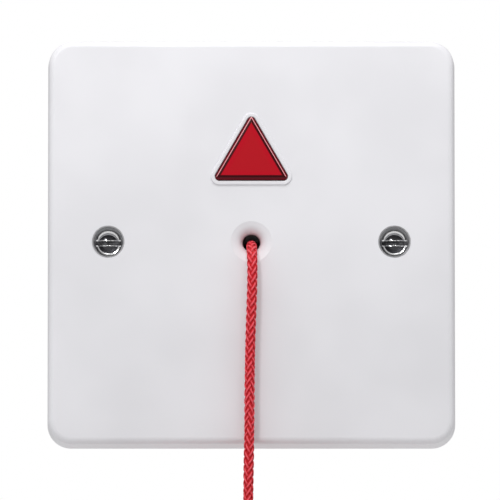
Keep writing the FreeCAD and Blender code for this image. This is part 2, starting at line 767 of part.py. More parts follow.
def make_return_spring():
    """A helical compression spring between the housing's floor and the collar."""
    start = FLOOR_REAR + SPRING_WIRE_R + SPRING_PLAY
    end = COLLAR_Y - SPRING_WIRE_R - SPRING_PLAY
    coil_r = SPRING_R - SPRING_WIRE_R
    helix = Part.makeHelix((end - start) / SPRING_TURNS, end - start, coil_r)
    wire_end = Part.Wire(Part.makeCircle(SPRING_WIRE_R, V(coil_r, 0, 0), V(0, 1, 0)))
    spring = Part.Wire(helix).makePipeShell([wire_end], True, True)
    spring.rotate(V(0, 0, 0), V(1, 0, 0), -90)
    spring.translate(V(0, start, 0))
    return spring


def route_wire(points):
    """Straight runs joined by tangent arcs, each as large as its two runs allow."""
    edges, here = [], points[0]
    for before, corner, after in zip(points, points[1:], points[2:]):
        a, b = before - corner, after - corner
        shorter = min(a.Length, b.Length)
        half_turn = (math.pi - a.getAngle(b)) / 2
        reach = 0.45 * shorter
        radius = reach / math.tan(half_turn)
        print(f"turn {math.degrees(2 * half_turn):5.1f} deg, radius {radius:7.1f} mm")
        start = corner + V(a).normalize() * reach
        end = corner + V(b).normalize() * reach
        bisector = (V(a).normalize() + V(b).normalize()).normalize()
        centre = corner + bisector * (radius / math.cos(half_turn))
        middle = centre - bisector * radius
        edges.append(Part.makeLine(here, start))
        edges.append(Part.Arc(start, middle, end).toShape())
        here = end
    edges.append(Part.makeLine(here, points[-1]))
    return Part.Wire(edges)


def make_pull_cord():
    route = route_wire(CORD_ROUTE)
    along = (CORD_ROUTE[1] - CORD_ROUTE[0]).normalize()
    section = Part.Wire(Part.makeCircle(CORD_R, CORD_ROUTE[0], along))
    cord = route.makePipeShell([section], True, True)
    expected = math.pi * CORD_R**2 * route.Length
    print(f"cord tube {route.Length:.1f} mm long, volume {cord.Volume / expected:.4f} of its section's")
    return cord


def make_stop_knot():
    """The knot in the cord's end, drawn into the plunger's pocket."""
    start = COLLAR_Y + POCKET_FLOOR
    knot = rod(KNOT_R, start, start + KNOT_LENGTH)
    return knot.makeFillet(KNOT_R / 3, edges_at(knot, start) + edges_at(knot, start + KNOT_LENGTH))


def hank_outline(margin):
    """The hank seen from the front: round at both ends, drawn in at the waist by the tie."""
    half_w, half_run = HANK_HALF_W - margin, HANK_RUN / 2
    waist = half_w - HANK_PINCH
    sag = HANK_PINCH / 2
    bend_r = ((half_run / 2) ** 2 + sag**2) / (2 * sag)
    quarter = math.asin(half_run / 2 / bend_r) / 2
    dip, rise = bend_r * (1 - math.cos(quarter)), bend_r * math.sin(quarter)

    def point(side, w, h):
        return V(HANG_X + side * w, 0, HANK_Z + h)

    def flank(side, up):
        shoulder, turn = up * half_run, up * half_run / 2
        upper = Part.Arc(
            point(side, half_w, shoulder),
            point(side, half_w - dip, shoulder - up * rise),
            point(side, half_w - sag, turn),
        )
        lower = Part.Arc(
            point(side, half_w - sag, turn), point(side, waist + dip, up * rise), point(side, waist, 0)
        )
        return [upper.toShape(), lower.toShape()]

    def end(up):
        shoulder = up * half_run
        top = point(0, 0, shoulder + up * half_w)
        return Part.Arc(point(-1, half_w, shoulder), top, point(1, half_w, shoulder)).toShape()

    edges = [end(1), *flank(1, 1), *flank(1, -1), end(-1), *flank(-1, -1), *flank(-1, 1)]
    return Part.Wire(Part.__sortEdges__(edges))


def make_cord_hank():
    """The put-away cord as one solid, flat where the cord enters and leaves it."""
    half = HANK_DEPTH / 2
    hank = prism(hank_outline(0), HANK_DEPTH)
    hank.translate(V(0, HANG_Y - half, 0))
    hank = hank.makeFillet(HANK_EDGE_R, edges_at(hank, HANG_Y - half) + edges_at(hank, HANG_Y + half))
    core_w = HANK_LOOP_R - CORD_R
    core_z = HANK_RUN / 2
    eyes = [
        Part.makeCylinder(core_w, HANK_DEPTH, V(HANG_X, HANG_Y - half, HANK_Z + up * core_z), V(0, 1, 0))
        for up in (-1, 1)
    ]
    wide = (HANG_X - HANK_HALF_W, HANG_X + HANK_HALF_W)
    keep = box(wide, (HANG_Y - half, HANG_Y + half), (HANK_BOTTOM, HANK_TOP))
    return hank.cut(eyes).common(keep)


def make_hank_tie():
    """A band round the hank's waist."""
    half_w = HANK_HALF_W - HANK_PINCH + 0.35
    half_d = HANK_DEPTH / 2 + 0.1
    outer = box(
        (HANG_X - half_w - TIE_T, HANG_X + half_w + TIE_T),
        (HANG_Y - half_d - TIE_T, HANG_Y + half_d + TIE_T),
        (HANK_Z - TIE_W / 2, HANK_Z + TIE_W / 2),
    )
    inner = box(
        (HANG_X - half_w, HANG_X + half_w),
        (HANG_Y - half_d, HANG_Y + half_d),
        (HANK_Z - TIE_W / 2, HANK_Z + TIE_W / 2),
    )
    uprights = [e for e in outer.Edges if e.BoundBox.ZLength > TIE_W / 2]
    outer = outer.makeFillet(HANK_EDGE_R + TIE_T, uprights)
    uprights = [e for e in inner.Edges if e.BoundBox.ZLength > TIE_W / 2]
    return outer.cut(inner.makeFillet(HANK_EDGE_R, uprights))


def knot_top(pull_z):
    """Where the pull in this place rests on its knot."""
    inner_apex = 2 * (PULL_INRADIUS - PULL_BAR - PULL_INNER_CORNER_R) + PULL_INNER_CORNER_R
    return pull_z + inner_apex + PULL_SEAT_DEPTH


def make_cord_tail():
    """The cord from the hank down to its end in the lower pull's knot."""
    end = knot_top(LOWER_PULL_Z) - KNOT_LENGTH
    return Part.makeCylinder(CORD_R, HANK_BOTTOM - end, V(HANG_X, HANG_Y, end), V(0, 0, 1))


def make_pull(pull_z):
    """A triangular ring to grip, bored for the cord through its apex and its lower bar."""
    start = HANG_Y - PULL_T / 2
    outside = prism(triangle(PULL_INRADIUS, PULL_CORNER_R, start, HANG_X, pull_z), PULL_T)
    outside = outside.makeFillet(PULL_EDGE_R, edges_at(outside, start) + edges_at(outside, start + PULL_T))
    inner = triangle(PULL_INRADIUS - PULL_BAR, PULL_INNER_CORNER_R, start, HANG_X, pull_z)
    pull = outside.cut(prism(inner, PULL_T))
    inner_edges = [e for e in edges_at(pull, start) + edges_at(pull, start + PULL_T) if in_opening(e, pull_z)]
    pull = pull.makeFillet(PULL_EDGE_R, inner_edges)
    bottom, apex = pull_z - PULL_INRADIUS, pull_z + PULL_APEX
    bore = Part.makeCylinder(PULL_BORE_R, apex - bottom, V(HANG_X, HANG_Y, bottom), V(0, 0, 1))
    knot_start = V(HANG_X, HANG_Y, knot_top(pull_z) - KNOT_LENGTH)
    seat = Part.makeCylinder(KNOT_R + KNOT_PLAY, KNOT_LENGTH, knot_start, V(0, 0, 1))
    return pull.cut([bore, seat])


def in_opening(edge, pull_z):
    middle = edge.BoundBox.Center
    return math.hypot(middle.x - HANG_X, middle.z - pull_z) < 2 * (PULL_INRADIUS - PULL_BAR) and (
        edge.BoundBox.ZMin > pull_z - PULL_INRADIUS + PULL_BAR / 2
    )


def make_pull_knot(pull_z):
    """A knot round the cord, under the apex of a pull."""
    start = V(HANG_X, HANG_Y, knot_top(pull_z) - KNOT_LENGTH)
    knot = Part.makeCylinder(KNOT_R, KNOT_LENGTH, start, V(0, 0, 1))
    knot = knot.makeFillet(KNOT_R / 3, [e for e in knot.Edges if len(e.Vertexes) == 1])
    return knot.cut(Part.makeCylinder(CORD_R + KNOT_PLAY, KNOT_LENGTH, start, V(0, 0, 1)))


def sub_parts():
    parts = {
        "faceplate": make_faceplate(),
        "fixing_eyelet_left": make_eyelet(-1),
        "fixing_eyelet_right": make_eyelet(1),
        "fixing_screw_left": make_fixing_screw(-1),
        "fixing_screw_right": make_fixing_screw(1),
        "indicator_lens": make_lens(),
        "light_shroud": make_shroud(),
        "indicator_led": make_led(),
        "circuit_board": make_circuit_board(),
        "guide_housing": make_guide_housing(),
        "terminal_block": make_terminal_block(),
        "switch_body": make_switch_body(),
        "switch_button": make_button(),
        "switch_lever": make_lever(),
        "diode": make_axial_component(DIODE_X, DIODE_Z, DIODE_R, DIODE_LENGTH),
        "capacitor": make_capacitor(),
        "plunger": make_plunger(),
        "retaining_clip": make_retaining_clip(),
        "return_spring": make_return_spring(),
        "pull_cord": make_pull_cord(),
        "stop_knot": make_stop_knot(),
        "cord_hank": make_cord_hank(),
        "hank_tie": make_hank_tie(),
        "cord_tail": make_cord_tail(),
        "upper_pull": make_pull(UPPER_PULL_Z),
        "upper_knot": make_pull_knot(UPPER_PULL_Z),
        "lower_pull": make_pull(LOWER_PULL_Z),
        "lower_knot": make_pull_knot(LOWER_PULL_Z),
    }
    for number, (x, z) in enumerate(post_places(), 1):
        parts[f"board_screw_{number}"] = make_board_screw(x, z)
    for number, z in enumerate(way_places(), 1):
        parts[f"terminal_screw_{number}"] = make_terminal_screw(z)
        parts[f"wire_clamp_{number}"] = make_wire_clamp(z)
    for number, z in enumerate(switch_pin_places(), 1):
        parts[f"switch_pin_{number}"] = make_switch_pin(z)
    for number, z in enumerate(RESISTOR_Z, 1):
        parts[f"resistor_{number}"] = make_axial_component(RESISTOR_X, z, RESISTOR_R, RESISTOR_LENGTH)
    return parts


def main():
    os.makedirs("parts", exist_ok=True)
    for name, shape in sub_parts().items():
        print(f"{name}: {len(shape.Solids)} solid, valid {shape.isValid()}, {shape.Volume:.2f} mm3")
        shape.exportStep(f"parts/{name}.step")


main()
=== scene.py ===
import math

import bmesh
import bpy
from bpy.props import FloatProperty, FloatVectorProperty, IntProperty, PointerProperty
from mathutils import Matrix, Quaternion, Vector


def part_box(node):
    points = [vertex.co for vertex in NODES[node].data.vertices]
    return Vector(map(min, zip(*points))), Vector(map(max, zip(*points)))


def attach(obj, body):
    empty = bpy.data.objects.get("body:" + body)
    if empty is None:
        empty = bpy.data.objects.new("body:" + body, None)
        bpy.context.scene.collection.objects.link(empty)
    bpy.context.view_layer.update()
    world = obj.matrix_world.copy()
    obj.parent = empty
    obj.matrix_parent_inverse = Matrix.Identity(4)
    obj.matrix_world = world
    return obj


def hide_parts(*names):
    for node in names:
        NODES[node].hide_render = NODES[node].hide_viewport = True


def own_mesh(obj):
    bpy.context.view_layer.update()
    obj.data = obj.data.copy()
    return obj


bl_info = {
    "name": "Emergency Pull Cord Alarm",
    "version": (1, 0, 0),
    "blender": (4, 5, 0),
    "location": "View3D > Sidebar > Pull Cord",
    "description": "Dresses the packed model of a pull cord alarm: plate, indicator, cord and mechanism",
    "category": "Add Mesh",
}

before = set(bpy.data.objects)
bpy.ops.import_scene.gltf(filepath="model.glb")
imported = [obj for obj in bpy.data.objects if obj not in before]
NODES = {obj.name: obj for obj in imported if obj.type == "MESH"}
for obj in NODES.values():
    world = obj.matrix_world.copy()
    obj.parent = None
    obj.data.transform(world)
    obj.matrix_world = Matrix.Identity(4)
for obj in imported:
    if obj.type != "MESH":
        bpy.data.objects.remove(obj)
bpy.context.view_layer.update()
MM = 0.001

# The cord's route from the plunger to the hank, as in the part's source
CORD_ROUTE = [
    (0.0, 0.0209, 0.0),
    (0.0, 0.0096, 0.0),
    (0.0, 0.0022, -0.00008),
    (0.0, -0.0026, -0.00024),
    (0.00003, -0.0061, -0.00052),
    (0.0001, -0.0089, -0.00175),
    (0.00018, -0.0106, -0.0039),
    (0.00024, -0.01105, -0.0069),
    (0.00012, -0.0111, -0.0119),
    (-0.0002, -0.011, -0.0205),
    (-0.00038, -0.0111, -0.0305),
    (-0.00042, -0.01105, -0.0405),
    (-0.00062, -0.01095, -0.0508),
    (-0.0007, -0.011, -0.061),
]
HANK_COLUMNS = 4
HANK_ROWS_EACH_SIDE = 3
HANK_RUN = 0.0315
HANK_INNER_TURN_R = 0.00525
HANK_PINCH = 0.0042
TURN_STEP = math.radians(30)

# The lens's flange and the screws' heads, as in the part's source
LENS_FLANGE = 0.0015
LENS_FLANGE_T = 0.0013
HEAD_RISE = 0.0006
SLOT_DEPTH = 0.00085
DOME_RISE = 0.00056
LED_LENGTH = 0.0053
NECK_R = 0.00155


# Sizes and colours that a user would change


def colour(name, description, red, green, blue):
    return FloatVectorProperty(
        name=name, description=description, subtype="COLOR", size=3, min=0, max=1, default=(red, green, blue)
    )


def length(name, description, metres):
    return FloatProperty(name=name, description=description, unit="LENGTH", precision=5, min=0, default=metres)


class ALARM_PG_plate(bpy.types.PropertyGroup):
    white: colour("White", "Colour of the moulded face plate", 0.79, 0.785, 0.815)
    grain: length("Grain", "Size of the fine moulded grain on the face", 0.0006)


class ALARM_PG_indicator(bpy.types.PropertyGroup):
    red: colour("Red", "Colour of the lens where light comes through it", 0.435, 0.0115, 0.019)
    # Painted shade: the chamfer's near-black red stands for shade, with some of the deeper red of the thick moulding
    chamfer_shade_red: colour("Edge red", "Colour of the thick lens edge seen through its chamfer", 0.045, 0.0008, 0.003)
    # Painted highlight: the pink on the thin ridge stands for light caught there
    ridge_highlight_pink: colour("Ridge pink", "Colour of the thin ridge that gathers light round the lens", 0.85, 0.36, 0.38)
    inradius: length("Inradius", "From the middle of the triangle to its sides", 0.0047)
    corner: length("Corner", "Radius of the triangle's corners", 0.0008)
    chamfer: length("Chamfer", "Width of the sloping edge round the lens", 0.00095)


class ALARM_PG_fixings(bpy.types.PropertyGroup):
    nickel: colour("Nickel", "Colour of the plating on the screws", 0.9, 0.9, 0.91)
    eyelet_grey: colour("Eyelet grey", "Colour of the turned wall round each screw", 0.62, 0.62, 0.64)
    # Painted reflection: the domes' near-black colour stands for the dark surroundings that polished nickel mirrors
    dome_dark_reflection: colour("Dome grey", "Colour of the polished domes, which mirror little of the light", 0.07, 0.07, 0.075)
    slot: length("Slot", "Width of the screwdriver slot", 0.0009)
    slot_edge: length("Slot edge", "Width of the bright broken edge along the slot", 0.0002)
    rim: length("Rim", "Width of the bright rim round the dome", 0.00055)
    pitch: length("Pitch", "Distance between the threads of the screws", 0.0006)


class ALARM_PG_cord(bpy.types.PropertyGroup):
    red: colour("Red", "Colour of the braid's yarns", 0.6, 0.012, 0.024)
    diameter: length("Diameter", "Outside diameter of the braided cord", 0.0021)
    lay: length("Lay", "Length in which a yarn goes once round the cord", 0.01)
    yarns: IntProperty(
        name="Yarns", description="Yarns in each direction of the braid", default=6, min=4, max=12
    )


class ALARM_PG_pulls(bpy.types.PropertyGroup):
    red: colour("Red", "Colour of the moulded pulls", 0.5, 0.012, 0.018)


class ALARM_PG_inside(bpy.types.PropertyGroup):
    board_green: colour("Board green", "Colour of the circuit board's solder mask", 0.012, 0.12, 0.045)
    terminal_green: colour("Terminal green", "Colour of the terminal block", 0.03, 0.2, 0.06)
    black: colour("Black", "Colour of the black mouldings", 0.012, 0.012, 0.0125)


class ALARM_PG_settings(bpy.types.PropertyGroup):
    plate: PointerProperty(name="Plate", type=ALARM_PG_plate)
    indicator: PointerProperty(name="Indicator", type=ALARM_PG_indicator)
    fixings: PointerProperty(name="Fixings", type=ALARM_PG_fixings)
    cord: PointerProperty(name="Cord", type=ALARM_PG_cord)
    pulls: PointerProperty(name="Pulls", type=ALARM_PG_pulls)
    inside: PointerProperty(name="Inside", type=ALARM_PG_inside)


# Materials


class Value:
    """A node's output that takes arithmetic. Each operation on it adds a Math node."""

    def __init__(self, finish, socket):
        self.finish, self.socket = finish, socket

    def __add__(self, other):
        return self.finish.math("ADD", self, other)

    __radd__ = __add__

    def __sub__(self, other):
        return self.finish.math("SUBTRACT", self, other)

    def __rsub__(self, other):
        return self.finish.math("SUBTRACT", other, self)

    def __mul__(self, other):
        return self.finish.math("MULTIPLY", self, other)

    __rmul__ = __mul__

    def __truediv__(self, other):
        return self.finish.math("DIVIDE", self, other)

    def __rtruediv__(self, other):
        return self.finish.math("DIVIDE", other, self)

    def __pow__(self, other):
        return self.finish.math("POWER", self, other)

    def __neg__(self):
        return self * -1


class Finish:
    """A material in the making. Keyword arguments go on the shader's own sockets."""

    def __init__(self, name, **uniform):
        self.material = bpy.data.materials.new(name)
        self.material.use_nodes = True
        self.tree = self.material.node_tree
        self.shader = self.tree.nodes["Principled BSDF"]
        self.shade(**uniform)

    def shade(self, **values):
        """Sets or links the shader's sockets, with _ for a space in their names."""
        for name, value in values.items():
            self.feed(self.shader.inputs[name.replace("_", " ")], value)
        return self.material

    def feed(self, socket, value):
        if isinstance(value, Value):
            self.tree.links.new(value.socket, socket)
        elif socket.type == "RGBA":
            socket.default_value = (*tuple(value)[:3], 1)
        else:
            socket.default_value = value

    def node(self, kind, settings=None, inputs=None, output=0):
        """Adds a node. Its settings come first, then the values or links of its sockets."""
        node = self.tree.nodes.new(kind)
        for name, value in (settings or {}).items():
            if name == "stops":
                ramp = node.color_ramp
                while len(ramp.elements) < len(value):
                    ramp.elements.new(1)
                for element, (place, shade) in zip(ramp.elements, value):
                    element.position, element.color = place, (*shade, 1)
            else:
                setattr(node, name, value)
        for name, value in (inputs or {}).items():
            self.feed(node.inputs[name], value)
        return Value(self, node.outputs[output])

    def math(self, operation, *values):
        return self.node("ShaderNodeMath", {"operation": operation}, dict(enumerate(values)))

    def place(self):
        return self.node("ShaderNodeTexCoord", output="Object")

    def parts(self, vector):
        """The x, y and z of a vector."""
        split = self.node("ShaderNodeSeparateXYZ", inputs={0: vector})
        return [Value(self, socket) for socket in split.socket.node.outputs]

    def stretched(self, vector, scale):
        return self.node("ShaderNodeVectorMath", {"operation": "MULTIPLY"}, {0: vector, 1: scale})

    def noise(self, vector, scale, detail=2.0, roughness=0.5):
        inputs = {"Vector": vector, "Scale": scale, "Detail": detail, "Roughness": roughness}
        return self.node("ShaderNodeTexNoise", inputs=inputs)

    def rise(self, value, low, high):
        """From 0 where the value is low to 1 where it is high, with soft ends."""
        inputs = {"Value": value, "From Min": low, "From Max": high}
        return self.node("ShaderNodeMapRange", {"interpolation_type": "SMOOTHSTEP"}, inputs)

    def mix(self, factor, first, second):
        return self.node("ShaderNodeMix", {"data_type": "RGBA"}, {0: factor, 6: first, 7: second}, output=2)

    def bump(self, height, distance, strength=1.0, normal=None):
        inputs = {"Height": height, "Distance": distance, "Strength": strength}
        if normal is not None:
            inputs["Normal"] = normal
        return self.node("ShaderNodeBump", inputs=inputs)


def moulded(name, colour, grain, roughness, depth=0.000002, **uniform):
    """Injection-moulded plastic: a fine even grain and slow changes of gloss."""
    finish = Finish(name, **uniform)
    place = finish.place()
    fine = finish.noise(place, 1 / grain, detail=3)
    slow = finish.noise(place, 45.0)
    shade = tuple(c * 0.94 for c in colour)
    return finish.shade(
        Base_Color=finish.mix(finish.rise(slow, 0.3, 0.7), shade, tuple(colour)),
        Roughness=roughness - 0.05 + slow * 0.08 + fine * 0.03,
        Normal=finish.bump(fine, depth),
    )


def braid_pattern(finish, around, along, lay, yarns):
    """The height of a braid at a place round (in turns) and along (in metres) a cord, and how deep
    the place is in the gaps between its yarns."""
    turns = along * (1 / lay)
    sides = []
    for hand in (-1, 1):
        yarn = finish.math("FRACT", (around + turns * hand) * yarns)
        across = yarn * 2 - 1
        sides.append(1 - across * across)
    columns = finish.math("COSINE", around * (yarns * math.pi))
    over = finish.rise(columns, -0.35, 0.35)
    height = sides[0] * over + sides[1] * (1 - over)
    return height


def braided_tube(name, colour, lay, yarns):
    """The cord in its turns and knots, whose braid is in the finish alone. Its gaps are painted darker as painted
    shade and the tops of its yarns lighter as painted highlights.
    """
    finish = Finish(name, Sheen_Weight=0.15, Sheen_Roughness=0.4, Specular_IOR_Level=0.35)
    around, along, _ = finish.parts(finish.node("ShaderNodeUVMap", {"uv_map": "braid"}))
    height = braid_pattern(finish, around, along, lay, yarns)
    fibres = finish.noise(finish.stretched(finish.place(), (1, 1, 0.3)), 9000.0)
    # Painted shade in the braid's gaps (dark) and painted highlight on its yarns' tops (light)
    dark = tuple(c * 0.4 for c in colour)
    light = tuple(min(1, c * k) for c, k in zip(colour, (1.35, 6.0, 4.0)))
    body = finish.mix(finish.rise(height, 0.1, 0.6), dark, tuple(colour))
    return finish.shade(
        Base_Color=finish.mix(finish.rise(height, 0.6, 1.0), body, light),
        Roughness=0.5 + fibres * 0.15,
        Normal=finish.bump(height + fibres * 0.15, 0.00022, 0.9),
    )


def braided_yarn(name, colour):
    """One twisted bright yarn of the braid, with its fibres along it. Its low and side parts are painted darker as
    painted shade and its crowns lighter as painted highlights.
    """
    finish = Finish(name, Sheen_Weight=0.06, Sheen_Roughness=0.35, Specular_IOR_Level=0.4)
    around, along, _ = finish.parts(finish.node("ShaderNodeUVMap", {"uv_map": "braid"}))
    height = finish.node("ShaderNodeAttribute", {"attribute_name": "standing"}, output="Fac")
    ply = finish.node("ShaderNodeAttribute", {"attribute_name": "yarn"}, output="Fac")
    line = finish.math("SINE", around * (14 * math.pi) + along * 2600.0 + ply * 9)
    fibres = finish.noise(finish.place(), 7000.0, detail=3) * 0.5 + line * 0.25
    crown = finish.math("SINE", around * (2 * math.pi))
    # Painted shade (dark) on low yarns and yarn sides, painted highlight (light) on the crowns of the yarns that stand
    # out
    dark = tuple(c * k for c, k in zip(colour, (0.95, 0.1, 0.3)))
    light = tuple(min(1, c * k) for c, k in zip(colour, (1.45, 7.5, 5)))
    seen = finish.rise(height, 0.1, 0.6) * finish.rise(crown, -0.3, 0.4)
    ridge = finish.rise(height, 0.35, 0.9) * finish.rise(crown, 0.45, 0.95)
    body = finish.mix(seen, dark, tuple(colour))
    return finish.shade(
        Base_Color=finish.mix(ridge * (0.75 + fibres * 0.3), body, light),
        Roughness=0.42 + fibres * 0.15,
        Normal=finish.bump(fibres, 0.00003, 0.8),
    )


def metal(name, colour, roughness, **uniform):
    """Bright plated metal with faint rubbing marks."""
    finish = Finish(name, Metallic=1.0, **uniform)
    rub = finish.noise(finish.place(), 1800.0, detail=4)
    dark = tuple(c * 0.82 for c in colour)
    return finish.shade(
        Base_Color=finish.mix(finish.rise(rub, 0.3, 0.7), dark, tuple(colour)),
        Roughness=roughness - 0.04 + rub * 0.1,
        Normal=finish.bump(rub, 0.0000015),
    )


def turned_metal(name, colour, roughness, half_centres, pitch, depth, **uniform):
    """Metal turned round the axis of either fixing, with the lines that the tool leaves."""
    finish = Finish(name, **uniform)
    x, y, z = finish.parts(finish.place())
    out = finish.math("ABSOLUTE", x) - half_centres
    radius = finish.math("SQRT", out * out + z * z)
    rub = finish.noise(finish.place(), 1500.0, detail=4)
    rings = finish.math("SINE", (radius - y) * (2 * math.pi / pitch) + rub * 3)
    lines = rings * 0.5 + rub * 0.6
    dark = tuple(c * 0.62 for c in colour)
    return finish.shade(
        Base_Color=finish.mix(finish.rise(lines, -0.2, 0.8), dark, tuple(colour)),
        Roughness=roughness - 0.03 + rub * 0.08,
        Normal=finish.bump(lines * depth, 1.0, 0.9),
    )


def slotted_head(name, look, half_centres, top_y, head_r):
    """Nickel of the fixing screws: the polished dome is painted near-black as a painted dark reflection, except a
    crescent at its top left bright as a painted highlight, in a bright rim; the slot is painted dark as painted shade,
    with bright edges.
    """
    finish = Finish(name)
    x, y, z = finish.parts(finish.place())
    out = finish.math("ABSOLUTE", x) - half_centres
    radius = finish.math("SQRT", out * out + z * z)
    across = finish.math("ABSOLUTE", z) - look.slot / 2
    rub = finish.noise(finish.place(), 1800.0, detail=4)
    dome_r = head_r - look.rim
    within = finish.math("MINIMUM", radius, dome_r)
    sunk = y - top_y - within * within * (DOME_RISE / dome_r ** 2)
    # The dome is painted near-black as a painted dark reflection; this circle is set lower so that a crescent at its
    # top stays bright nickel as a painted highlight
    lower = z + 0.0003
    top_highlight = finish.math("SQRT", out * out + lower * lower) - dome_r + 0.0001
    on_head = 1 - finish.rise(y, top_y + SLOT_DEPTH + 0.00002, top_y + SLOT_DEPTH + 0.00004)
    on_dome = on_head * finish.rise(finish.math("MAXIMUM", radius - dome_r, top_highlight), 0.00004, 0.0)
    away = finish.rise(across, look.slot_edge, look.slot_edge + 0.00003)
    in_slot = on_head * finish.rise(sunk, look.slot_edge * 0.5, look.slot_edge * 0.6) * finish.rise(across, 0.00001, 0.0)
    bright = finish.mix(rub, tuple(c * 0.9 for c in look.nickel), tuple(look.nickel))
    # Painted reflection on the dome, bright nickel on the rim, on the painted top highlight and along the slot's edges
    head = finish.mix(on_dome * away, bright, tuple(look.dome_dark_reflection))
    # Painted shade: the slot is painted a dark mottled grey, less metallic and rougher than the head
    slot_shade = finish.mix(finish.rise(rub, 0.3, 0.7), tuple(c * 0.4 for c in look.dome_dark_reflection), tuple(c * 2.4 for c in look.dome_dark_reflection))
    return finish.shade(
        Base_Color=finish.mix(in_slot, head, slot_shade),
        Roughness=0.1 + rub * 0.08 + in_slot * 0.3,
        Metallic=1 - in_slot * 0.7,
        Normal=finish.bump(rub, 0.0000015),
    )


def triangle_side_distance(finish, x, z, middle_z):
    """How far from the middle of the indicator towards its nearest side."""
    up = z - middle_z
    slope = finish.math("ABSOLUTE", x) * math.cos(math.radians(30)) + up * 0.5
    return finish.math("MAXIMUM", slope, -up)


def tinted_lens(name, look, ridge_out, middle_z):
    """Red lens moulding. Its face is lit through and painted redder near its sides as painted light, its sloping edge
    is painted almost black-red as painted shade, and the thin ridge half-way down the slope gets a pink painted
    highlight, dimmed to dark red along the base as painted shade."""
    finish = Finish(name, Roughness=0.2, Specular_IOR_Level=0.12, IOR=1.49)
    x, _, z = finish.parts(finish.place())
    out = triangle_side_distance(finish, x, z, middle_z)
    slow = finish.noise(finish.place(), 420.0)
    face_end = look.inradius - look.chamfer
    # Painted light: the face is redder and lighter near its sides, where light gathers through the edges; the slow
    # noise adds tone at random
    warm = tuple(min(1, c * k) for c, k in zip(look.red, (1.05, 0.75, 1.0)))
    near_side = finish.rise(out, face_end - 0.0016, face_end)
    face = finish.mix(finish.rise(slow * 0.5 + near_side * 0.7, 0.25, 0.85), tuple(look.red), warm)
    # Painted shade: the sloping edge is painted near-black red
    edge = finish.rise(out, face_end - 0.00012, face_end + 0.00008)
    lens = finish.mix(edge, face, tuple(look.chamfer_shade_red))
    # Painted highlight: pink along the thin ridge, dimmed along the base where the light falls less
    on_ridge = finish.rise(finish.math("ABSOLUTE", out - ridge_out), 0.0001, 0.00004)
    at_base = finish.rise(middle_z - z, look.inradius * 0.82, look.inradius * 0.88)
    # Painted shade: darker red on the outer slope beyond the ridge and on the ridge along the base
    dim_edge_shade_red = tuple(c * 2.6 for c in look.chamfer_shade_red)
    lens = finish.mix(finish.rise(out, ridge_out, ridge_out + 0.00008), lens, dim_edge_shade_red)
    return finish.shade(
        Base_Color=finish.mix(on_ridge, lens, finish.mix(at_base * 0.97, tuple(look.ridge_highlight_pink), dim_edge_shade_red)),
        Normal=finish.bump(slow, 0.000004),
    )


def solder_mask(name, green, pads, tracks):
    """Green circuit board: tinned pads round the leads and tracks under the mask."""
    finish = Finish(name, Specular_IOR_Level=0.5)
    place = finish.place()
    x, _, z = finish.parts(place)
    weave = finish.noise(finish.stretched(place, (1, 1, 2.5)), 1400.0, detail=3)
    pad = None
    for pad_x, pad_z, pad_r in pads:
        across, up = x - pad_x, z - pad_z
        near = finish.math("SQRT", across * across + up * up) - pad_r
        pad = near if pad is None else finish.math("MINIMUM", pad, near)
    track = None
    for x_1, z_1, x_2, z_2, half in tracks:
        beyond_x = finish.math("ABSOLUTE", x - (x_1 + x_2) / 2) - abs(x_2 - x_1) / 2 - half
        beyond_z = finish.math("ABSOLUTE", z - (z_1 + z_2) / 2) - abs(z_2 - z_1) / 2 - half
        near = finish.math("MAXIMUM", beyond_x, beyond_z)
        track = near if track is None else finish.math("MINIMUM", track, near)
    on_track = 1 - finish.rise(track, -0.00004, 0.00004)
    on_pad = 1 - finish.rise(pad, -0.00003, 0.00003)
    light = tuple(min(1, c * 1.9) for c in green)
    mask = finish.mix(on_track * 0.75 + weave * 0.15, tuple(green), light)
    return finish.shade(
        Base_Color=finish.mix(on_pad, mask, (0.62, 0.6, 0.56)),
        Metallic=on_pad * 0.95,
        Roughness=0.32 + weave * 0.1,
        Normal=finish.bump(on_track * 0.6 + on_pad * 0.4 + weave * 0.08, 0.00004),
    )


def banded(name, lacquer, half_length, bands):
    """A lacquered resistor or diode body with bands round it, and bright leads beyond its ends.
    bands are (places along it, half width, colour)."""
    finish = Finish(name, Coat_Weight=0.3)
    x, _, z = finish.parts(finish.place())
    slow = finish.noise(finish.place(), 1200.0)
    along, shade = finish.math("ABSOLUTE", x), finish.mix(slow, tuple(c * 0.85 for c in lacquer), tuple(lacquer))
    for middle, half, band in bands:
        from_band = finish.math("ABSOLUTE", x - middle) - half
        shade = finish.mix(1 - finish.rise(from_band, -0.00003, 0.00003), shade, band)
    lead = finish.rise(along, half_length[0] + half_length[1] - 0.00005, half_length[0] + half_length[1])
    short = 1 - finish.rise(along, half_length[0] - half_length[1], half_length[0] - half_length[1] + 0.00005)
    bare = finish.math("MAXIMUM", lead, short)
    return finish.shade(
        Base_Color=finish.mix(bare, shade, (0.66, 0.65, 0.62)),
        Metallic=bare,
        Roughness=0.3 + slow * 0.08,
        Normal=finish.bump(slow, 0.00001),
    )


def paint(material, *names):
    """Gives CAD nodes their finish."""
    for name in names:
        for slot in NODES[name].material_slots:
            slot.material = material


# Meshes


def add_piece(name, bm, materials, body, replaces=(), smooth=True, crease=35.0):
    """Makes the mesh a piece that rides on a body and stands for CAD nodes."""
    mesh = bpy.data.meshes.new(name)
    if smooth:
        for face in bm.faces:
            face.smooth = True
        for edge in bm.edges:
            if edge.is_manifold and edge.calc_face_angle(0) > math.radians(crease):
                edge.smooth = False
    bm.to_mesh(mesh)
    bm.free()
    for material in materials:
        mesh.materials.append(material)
    piece = bpy.data.objects.new(name, mesh)
    bpy.context.scene.collection.objects.link(piece)
    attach(piece, body)
    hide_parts(*replaces)
    return piece


